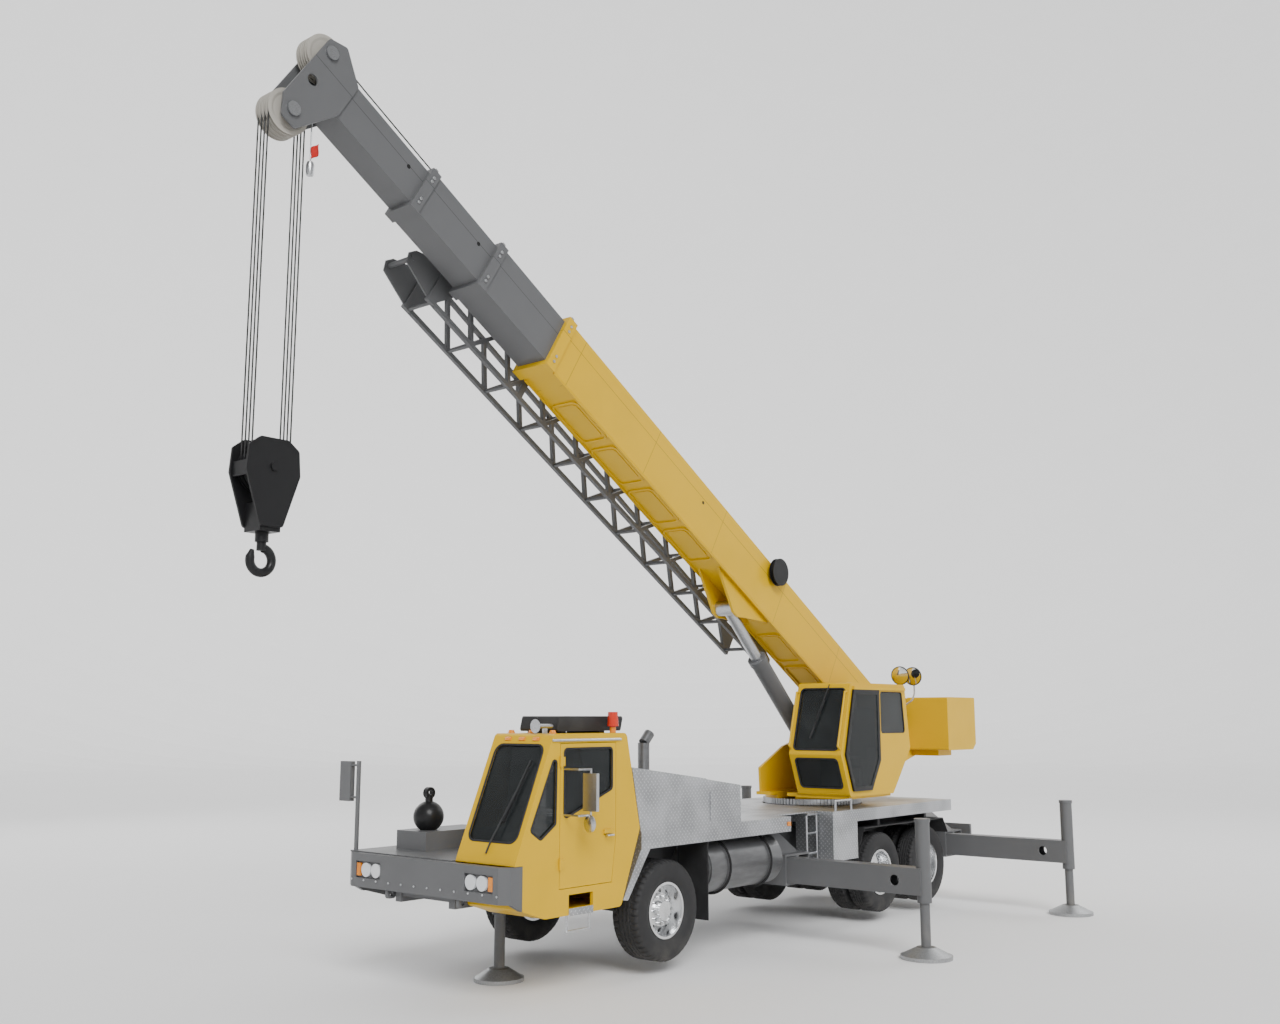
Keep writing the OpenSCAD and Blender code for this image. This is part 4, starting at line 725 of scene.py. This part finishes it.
class CRANE_OT_seals(Piece):
    """Sets rubber seals round the window panes"""

    bl_idname = "crane.seals"
    bl_label = "Window seals"

    @staticmethod
    def upright(corners, r, y, face):
        """Path round a pane that stands across the sideways axis, and the way it faces."""
        line = rounded(corners, r)
        return np.stack([line[:, 0], np.full(len(line), y), line[:, 1]], -1), face * LEFT

    @staticmethod
    def leaning(corners, r, origin, rise):
        """Path round a pane that faces forwards and leans along rise, and the way it faces."""
        line = rounded(corners, r)
        return origin + line[:, :1] * LEFT + line[:, 1:] * rise, np.cross(LEFT, rise)

    def build(self, sizes, tint):
        w = sizes.seal / 2
        lip = [[-w, -0.004], [w, -0.004], [w, 0.003], [0.6 * w, 0.007], [-0.6 * w, 0.007], [-w, 0.003]]
        screen = rectangle(-SCREEN_HALF, SCREEN_LOW, SCREEN_HALF, SCREEN_HIGH)
        cab = (
            self.leaning(screen, 0.09, CAB_FOOT, SCREEN),
            self.upright([[6.63, 2.43], [6.64, 1.7], [6.85, 1.56], [6.99, 1.65]], 0.03, HALF, 1),
            self.upright([[6.56, 1.6], [6.48, 2.44], [5.7, 2.44], [5.6, 1.8]], 0.06, CAB_Y, -1),
        )
        operator = (
            self.leaning(rectangle(-0.351, 0.06, 0.351, 0.92), 0.06, OP_KNEE, KNEE),
            self.leaning(rectangle(-0.331, -0.48, 0.331, -0.06), 0.05, OP_KNEE, SHIN),
            self.upright([[0.04, 2.52], [0.04, 3.098], [-0.59, 3.098], [-0.66, 2.52]], 0.05,
                         OP_Y1 - 0.009, 1),
            self.upright([[0.93, 2.35], [0.76, 3.098], [-0.59, 3.098], [-0.66, 2.35]], 0.05, OP_Y, -1),
        )
        door = (self.upright([[6.52, 1.74], [6.52, 2.43], [5.79, 2.43], [5.79, 2.01]], 0.04, HALF, 1),)
        for name, body, panes in (("cab_window_seals", "carrier", cab),
                                  ("operator_window_seals", "upperworks", operator),
                                  ("door_window_seal", "carrier_door", door)):
            seal = Shell()
            for path, up in panes:
                seal.sweep(path, lip, up, True)
            seal.make(name, "rubber", body)


class CRANE_OT_bolts(Piece):
    """Adds turntable bolts, wheel nuts, tank straps and bumper bolts"""

    bl_idname = "crane.bolts"
    bl_label = "Bolts and nuts"

    def build(self, sizes, tint):
        turn = np.arange(36) * TAU / 36
        ring = np.stack([0.6 * np.cos(turn), 0.6 * np.sin(turn), np.full(36, 1.672)], -1)
        ring = ring[(np.abs(ring[:, 1]) > 0.42) | (ring[:, 0] < -1.01)]
        top = Shell().heads(ring, UP, sizes.bolt, 0.02)
        top.make("turntable_bolts", "steel", "upperworks", smooth=False)
        for side, sign in SIDES:
            hub = (FRONT_X, sign * (FRONT_Y + 0.106), FRONT_Z)
            self.nuts("wheel_nuts_front_" + side, "front_wheel_" + side, hub, sign)
            for axle, x in REAR_AXLES:
                hub = (x, sign * (REAR_OUT - 0.113), REAR_Z)
                self.nuts(f"wheel_nuts_rear_{axle}_{side}", f"rear_wheels_{axle}_{side}", hub, sign)
        straps = Shell()
        band = [[-0.028, -0.0005], [0.028, -0.0005], [0.028, 0.002],
                [0.02, 0.004], [-0.02, 0.004], [-0.028, 0.002]]
        loop = np.arange(72) * TAU / 72
        for x in (2.83, 3.67):
            path = np.stack([np.full(72, x), 0.88 + 0.3085 * np.cos(loop), 1.03 + 0.3085 * np.sin(loop)], -1)
            keep = path[:, 1] > 0.63
            path = np.roll(path[keep], -np.argmax(np.abs(np.diff(loop[keep])) > 0.2) - 1, axis=0)
            straps.sweep(path, band, AHEAD)
        straps.make("tank_straps", "rubber", "carrier")
        lip = np.stack([np.full(12, 7.31), np.linspace(-1.1, 1.1, 12), np.full(12, 1.06)], -1)
        bumper = Shell().heads(lip, AHEAD, 0.012, 0.008)
        bumper.make("bumper_bolts", "steel", "carrier", smooth=False)

    @staticmethod
    def nuts(name, body, hub, sign):
        """Ten nuts in a ring about a wheel's hub."""
        turn = np.arange(10) * TAU / 10
        at = hub + NUT_RING * (np.cos(turn)[:, None] * AHEAD + np.sin(turn)[:, None] * UP)
        Shell().heads(at, sign * LEFT, 0.02, 0.022).make(name, "steel", body, smooth=False)


class CRANE_OT_cab_fittings(Piece):
    """Fits wipers, gutter, marker lamps, step tread, door pull and mirror glass to the cabs"""

    bl_idname = "crane.cab_fittings"
    bl_label = "Cab fittings"

    @staticmethod
    def wiper(name, body, foot, rise, out, arm, blade, r, lip):
        """Arm and blade on a leaning pane; their points are given as (up the pane, left, off the pane)."""
        arm, blade = (foot + np.array(line) @ np.array([rise, LEFT, out]) for line in (arm, blade))
        edge = [[-0.006, -0.01], [0.006, -0.01], [lip, 0.012], [-lip, 0.012]]
        shell = Shell().sweep(polyline(arm, 0.03), circle(r), out).sweep(polyline(blade, 0.04), edge, out)
        shell.make(name, "plastic", body)

    def build(self, sizes, tint):
        self.wiper("cab_wiper", "carrier", CAB_FOOT, SCREEN, SCREEN_OUT,
                   [(0.09, 0.0, 0.02), (0.2, 0.03, 0.035), (0.72, 0.16, 0.022)],
                   [(0.42, 0.1, 0.012), (1.05, 0.23, 0.012)], 0.009, 0.011)
        gutter = polyline([(5.66, HALF + 0.006, 2.515), (6.7, HALF + 0.006, 2.515)], 0.05)
        trough = [[-0.012, -0.01], [0.008, -0.01], [0.008, 0.012], [-0.004, 0.012], [-0.012, 0.002]]
        Shell().sweep(gutter, trough, UP).make("cab_rain_gutter", "steel", "carrier")
        markers = Shell()
        bead = rounded(rectangle(-0.045, -0.02, 0.045, 0.02), 0.008, 4)
        levels = ((0.0005, 1.0), (0.01, 1.0), (0.014, 0.86))
        for y in (-0.2, 0.0, 0.2):
            centre = CAB_FOOT + y * LEFT + 1.283 * SCREEN
            markers.loft(plaque(centre, bead, LEFT, SCREEN, SCREEN_OUT, levels))
        markers.make("roof_markers", "lens", "carrier")
        strip = rounded(rectangle(-0.18, -0.036, 0.18, 0.036), 0.006, 4)
        levels = ((0.0005, 1.0), (0.005, 1.0), (0.006, 0.98))
        tread = Shell().loft(plaque(np.array([6.26, HALF, 0.832]), strip, AHEAD, UP, LEFT, levels))
        tread.make("cab_step_tread", "plate", "carrier")
        pull = rounded([[5.82, 0.0], [5.82, 0.052], [5.91, 0.052], [5.91, 0.0]], 0.018)
        pull = np.stack([pull[:, 0], HALF + 0.012 + pull[:, 1], np.full(len(pull), 1.545)], -1)
        Shell().sweep(pull, circle(0.009), UP, True).make("door_pull", "steel", "carrier_door")
        u, v = np.meshgrid(np.linspace(-1, 1, 24), np.linspace(-1, 1, 24), indexing="ij")
        puff = (1 - u ** 8) * (1 - v ** 8)
        glass = np.stack([6.3645 - 0.004 * puff, HALF + 0.24 + 0.078 * u, 2.005 + 0.172 * v], -1)
        back = glass * [0, 1, 1] + [6.3665, 0, 0]
        pane = Shell().grid(np.concatenate([glass, back[::-1]], 0), True)
        pane.make("door_mirror_glass", "mirror", "carrier_door")
        self.wiper("operator_wiper", "upperworks", OP_KNEE, KNEE, KNEE_OUT,
                   [(0.97, 0.1, 0.02), (0.5, -0.02, 0.03)],
                   [(0.75, 0.05, 0.012), (0.22, -0.1, 0.012)], 0.008, 0.01)


class CRANE_OT_mirrors(Piece):
    """Puts round mirrors on stalks beside the turntable and below the door mirror"""

    bl_idname = "crane.mirrors"
    bl_label = "Round mirrors"

    @staticmethod
    def dish(centre, face, radius):
        """Bowed back with a rolled rim and bulged pane of a round mirror, turned about its face direction."""
        face = unit(face)
        a = unit(np.cross(face, UP))
        b = np.cross(a, face)
        back = [[0.03, -0.34], [0.5, -0.31], [0.85, -0.2], [1.0, -0.05], [1.0, 0.05],
                [0.93, 0.08], [0.9, 0.02]]
        pane = [[0.9, 0.05], [0.6, 0.1], [0.3, 0.13], [0.03, 0.14]]
        turn = np.arange(36) * TAU / 36
        ring = np.cos(turn)[:, None] * a + np.sin(turn)[:, None] * b
        rows = (radius * np.array(part)[:, None] for part in (back, pane))
        return [np.asarray(centre, float) + row[..., :1] * ring + row[..., 1:] * face for row in rows]

    def build(self, sizes, tint):
        stalks, shells, panes = Shell(), Shell(), Shell()
        for x in (-1.3, -1.7):
            bend = [(x, 0.352, 2.68), (x, 0.4, 2.78), (x, 0.76, 3.0), (x, 0.8, 3.1), (x, 0.8, 3.36)]
            stalks.sweep(polyline(bend, 0.03), circle(0.013), AHEAD)
            back, pane = self.dish((x + 0.035, 0.8, 3.36), (1, 0.12, -0.12), 0.14)
            shells.loft(back)
            panes.loft(pane)
        stalks.make("mirror_stalks", "steel", "upperworks")
        shells.make("mirror_backs", "black", "upperworks")
        panes.make("mirror_panes", "mirror", "upperworks")
        back, pane = self.dish((6.4, HALF + 0.24, 1.7), (-1, 0.1, 0), 0.085)
        Shell().loft(back).make("door_round_mirror", "steel", "carrier_door")
        Shell().loft(pane).make("door_round_pane", "mirror", "carrier_door")
        bracket = polyline([(6.385, HALF + 0.238, 1.775), (6.41, HALF + 0.238, 1.7)], 0.01)
        stem = Shell().sweep(bracket, circle(0.01), LEFT)
        stem.make("door_round_bracket", "steel", "carrier_door")


class CRANE_OT_seats(Piece):
    """Pads the seats of both cabs with crowned, channelled cushions"""

    bl_idname = "crane.seats"
    bl_label = "Seat pads"

    @staticmethod
    def pad(centre, size, tilt, channels):
        """Cushion: a box eased by a power-of-5 ball, with sewn channels pressed across its top.

        Each point is the unit direction divided by its 5-norm, so sides bulge and corners stay round.
        """
        around, rise = np.linspace(0, TAU, 72, endpoint=False), np.linspace(-np.pi / 2, np.pi / 2, 44)
        u, v = np.meshgrid(around, rise, indexing="ij")
        d = np.stack([np.cos(u) * np.cos(v), np.sin(u) * np.cos(v), np.sin(v)], -1)
        d /= (np.abs(d) ** 5).sum(-1, keepdims=True) ** 0.2
        groove = np.exp(-(((d[..., 0] * channels / 2 + 0.5) % 1 - 0.5) / 0.07) ** 2)
        d[..., 2] -= 0.12 * groove * np.clip(d[..., 2] * 3, 0, 1)
        p = d * np.asarray(size, float) / 2
        c, s = np.cos(tilt), np.sin(tilt)
        turned = np.stack([c * p[..., 0] - s * p[..., 2], p[..., 1], s * p[..., 0] + c * p[..., 2]], -1)
        return turned + np.asarray(centre, float)

    def build(self, sizes, tint):
        for name, x, y, z, body in (("driver", 6.0, CAB_MID, 1.3803, "carrier"),
                                    ("operator", 0.06, OP_MID, 2.0583, "upperworks")):
            base = self.pad((x + 0.03, y, z + 0.06), (0.56, 0.52, 0.17), 0.02, 5)
            rest = self.pad((x - 0.222, y, z + 0.42), (0.79, 0.49, 0.17), np.pi / 2 + 0.15, 6)
            for part, pts in (("seat_pad", base), ("back_pad", rest)):
                cushion = Shell().grid(pts, True).make(f"{name}_{part}", "seat", body)


class CRANE_OT_boom_fittings(Piece):
    """Adds the hoist limit weight and flag, ribs, rope guides, collar fittings and reel cable to the boom"""

    bl_idname = "crane.boom_fittings"
    bl_label = "Boom fittings"

    def build(self, sizes, tint):
        self.limit_weight()
        ribs = Shell()
        rib = [[-0.016, -0.001], [0.016, -0.001], [0.012, 0.022], [-0.012, 0.022]]
        for s in 0.75 + 0.82 * np.array([0, 1, 2, 5, 6, 7, 8]):
            loop = rounded(rectangle(s - 0.045, -0.2, s + 0.625, 0.2), 0.07)
            ribs.sweep(boom_point(loop[:, 0], loop[:, 1], -0.3), rib, -ABOVE, True)
        for y in (-0.232, 0.232):
            ribs.sweep(boom_point(np.linspace(0.55, 8.42, 80), y, -0.3), rib, -ABOVE)
        ribs.make("boom_underside_ribs", "yellow", "boom")
        bow = rounded([[-0.1, 0.39], [-0.1, 0.52], [0.1, 0.52], [0.1, 0.39]], 0.05)
        for i, s in enumerate((1.6, 3.1, 4.6, 6.1, 7.6)):
            guide = Shell().sweep(boom_point(s, bow[:, 0], bow[:, 1]), circle(0.012), ALONG, True)
            guide.make(f"rope_guide_{i + 1}", "steel", "boom")
        for body, s, w, h in COLLARS:
            self.collar(body, s, w, h)
        caps = Shell()
        for s, t in (HEAD, TOP_SHEAVE):
            for y in (-0.209, 0.189):
                caps.sweep(boom_point(s, np.linspace(y, y + 0.02, 4), t), circle(0.072, 32), ALONG)
        caps.make("head_pin_caps", "steel", "section_4")
        hub = boom_point(3.6, 0.0, 0.33)
        coil = spool(hub, ALONG, ABOVE, 64, np.linspace(0.312, 0.356, 40), 0.15, 0.006, 0.011, 0.119)
        Shell().grid(coil, True).make("reel_cable", "black", "boom")

    @staticmethod
    def limit_weight():
        """Hoist limit weight, its line and a rippled red flag, hung behind the head sheaves."""
        hang = boom_point(HEAD[0], 0.0, HEAD[1]) + [-0.27, 0.11, -0.25]
        u, v = np.meshgrid(np.linspace(0, 1, 14), np.linspace(0, 1, 14), indexing="ij")
        ripple = 0.006 * np.sin(TAU * u) + 0.004 * np.sin(TAU * v)
        sheet = hang + np.stack([ripple, 0.006 + 0.12 * u, -0.03 - 0.12 * v], -1)
        thick = 0.004 * AHEAD
        flag = Shell().grid(np.concatenate([sheet + thick, (sheet - thick)[::-1]], 0), True)
        flag.make("limit_flag", "red", "rope_falls")
        line = polyline([hang + [0, 0, 0.22], hang - [0, 0, 0.2]], 0.05)
        form = ((0.0, 0.008), (0.01, 0.034), (0.04, 0.04), (0.12, 0.04), (0.15, 0.03), (0.16, 0.008))
        rows = [hang + [0, 0, z - 0.33] + circle(r, 20) @ np.array([AHEAD, LEFT]) for z, r in form]
        weight = Shell().sweep(line, circle(0.007), AHEAD).loft(rows)
        weight.make("limit_weight", "steel", "rope_falls")

    @staticmethod
    def collar(body, s, w, h):
        """Bolts on both sides of a collar and two rollers between brackets on its top."""
        t = MIDLINE + np.array([-1, -0.72, 0.72, 1]) * (h / 2 - 0.1)
        for name, sign in reversed(SIDES):
            heads = Shell().heads(boom_point(s, sign * w / 2, t), sign * LEFT, 0.02, 0.014)
            heads.make(f"collar_bolts_{body}_{name}", "steel", body, smooth=False)
        rollers = Shell()
        top = MIDLINE + h / 2
        bracket = [[-0.045, -0.001], [0.045, -0.001], [0.02, 0.06], [-0.02, 0.06]]
        for y in (w / 2 - 0.14, 0.05 - w / 2):
            rollers.sweep(boom_point(s, np.linspace(y, y + 0.09, 4), top + 0.035), circle(0.026, 20), ALONG)
            for end in (y - 0.006, y + 0.084):
                rollers.sweep(boom_point(s, np.linspace(end, end + 0.012, 3), top), bracket, ABOVE)
        rollers.make(f"collar_rollers_{body}", "steel", body)


class CRANE_OT_stage(Piece):
    """Sets the floor, soft studio light and the camera"""

    bl_idname = "crane.stage"
    bl_label = "Stage"

    def build(self, sizes, tint):
        self.floor()
        world = bpy.data.worlds.new("studio_sky")
        world.use_nodes = True
        sky = world.node_tree.nodes["Background"]
        sky.inputs[0].default_value, sky.inputs[1].default_value = (1.0, 1.0, 1.0, 1.0), 0.34
        bpy.context.scene.world = world
        for name, at, power in (("fill", (2, -22, 12), 700.0), ("back", (-16, 6, 16), 900.0)):
            light = bpy.data.lights.new("studio_" + name, "AREA")
            light.energy, light.size = power, 10.0
            self.aim(light, Vector((2, 0, 3)) - Vector(at)).location = at
        sun = bpy.data.lights.new("studio_key", "SUN")
        sun.energy, sun.angle = 3.1, np.radians(32)
        self.aim(sun, Vector((-0.45, -0.66, -0.6)))
        camera = bpy.data.cameras.new("photo_view")
        camera.lens, camera.sensor_width, camera.sensor_fit = 35.69, 36.0, "HORIZONTAL"
        camera.clip_end = 400.0
        eye = bpy.data.objects.new("photo_view", camera)
        ahead = Vector((-0.7577, -0.6327, 0.1596)).normalized()
        right = Vector((-0.641, 0.7677, 0.0)).normalized()
        turn = Matrix((right, right.cross(ahead), -ahead)).transposed()
        eye.matrix_world = Matrix.Translation((15.998, 10.122, 2.744)) @ turn.to_4x4()
        bpy.context.scene.collection.objects.link(eye)
        bpy.context.scene.camera = eye

    @staticmethod
    def floor():
        """Floor: flat to 55 m, then rising as the square of the distance, more steeply behind the crane."""
        u, v = np.meshgrid(np.linspace(-140, 140, 141), np.linspace(-140, 140, 141), indexing="ij")
        far = np.hypot(u, v)
        rise = (0.006 + 0.036 * np.clip(u / (far + 1), 0, 1) ** 2) * np.clip(far - 55, 0, None) ** 2
        points = np.stack([-0.767 * u + 0.641 * v, -0.641 * u - 0.767 * v, rise - 0.002], -1)
        mesh = bpy.data.meshes.new("studio_floor")
        mesh.from_pydata(points.reshape(-1, 3).tolist(), [], quads(141, 141, False, False).tolist())
        f = Finish("studio_floor_white", Specular_IOR_Level=0.2)
        white = f.mix(f.noise(0.3), (0.9, 0.9, 0.9), (0.93, 0.93, 0.93))
        f.feed(Base_Color=white, Roughness=0.7 + f.noise(2.0) * 0.1)
        mesh.materials.append(f.material)
        floor = bpy.data.objects.new("studio_floor", mesh)
        bpy.context.scene.collection.objects.link(floor)

    @staticmethod
    def aim(light, way):
        """A lamp that shines along the given way."""
        lamp = bpy.data.objects.new(light.name, light)
        lamp.rotation_euler = way.to_track_quat("-Z", "Y").to_euler()
        bpy.context.scene.collection.objects.link(lamp)
        return lamp


class CRANE_PT_sidebar(bpy.types.Panel):
    """Lists the crane's pieces, sizes and colours"""

    bl_idname = "CRANE_PT_sidebar"
    bl_label = "Truck crane"
    bl_space_type = "VIEW_3D"
    bl_region_type = "UI"
    bl_category = "Crane"

    def draw(self, context):
        """Buttons first, then the values."""
        for operator in OPERATORS:
            self.layout.operator(operator.bl_idname)
        for group in (context.scene.crane_sizes, context.scene.crane_paint):
            for key in group.__annotations__:
                self.layout.prop(group, key)


OPERATORS = (
    CRANE_OT_finishes,
    CRANE_OT_tyres,
    CRANE_OT_falls,
    CRANE_OT_seals,
    CRANE_OT_bolts,
    CRANE_OT_cab_fittings,
    CRANE_OT_mirrors,
    CRANE_OT_seats,
    CRANE_OT_boom_fittings,
    CRANE_OT_stage,
)
CLASSES = (CranePaint, CraneSizes, *OPERATORS, CRANE_PT_sidebar)


def register():
    """Registers the classes and the scene's two groups of values."""
    for cls in CLASSES:
        bpy.utils.register_class(cls)
    bpy.types.Scene.crane_paint = bpy.props.PointerProperty(type=CranePaint)
    bpy.types.Scene.crane_sizes = bpy.props.PointerProperty(type=CraneSizes)


def unregister():
    """Takes them away again."""
    del bpy.types.Scene.crane_paint, bpy.types.Scene.crane_sizes
    for cls in reversed(CLASSES):
        bpy.utils.unregister_class(cls)


def main():
    """Dresses the crane piece by piece."""
    register()
    for operator in OPERATORS:
        getattr(bpy.ops.crane, operator.bl_idname.split(".")[1])()


if __name__ == "__main__":
    main()
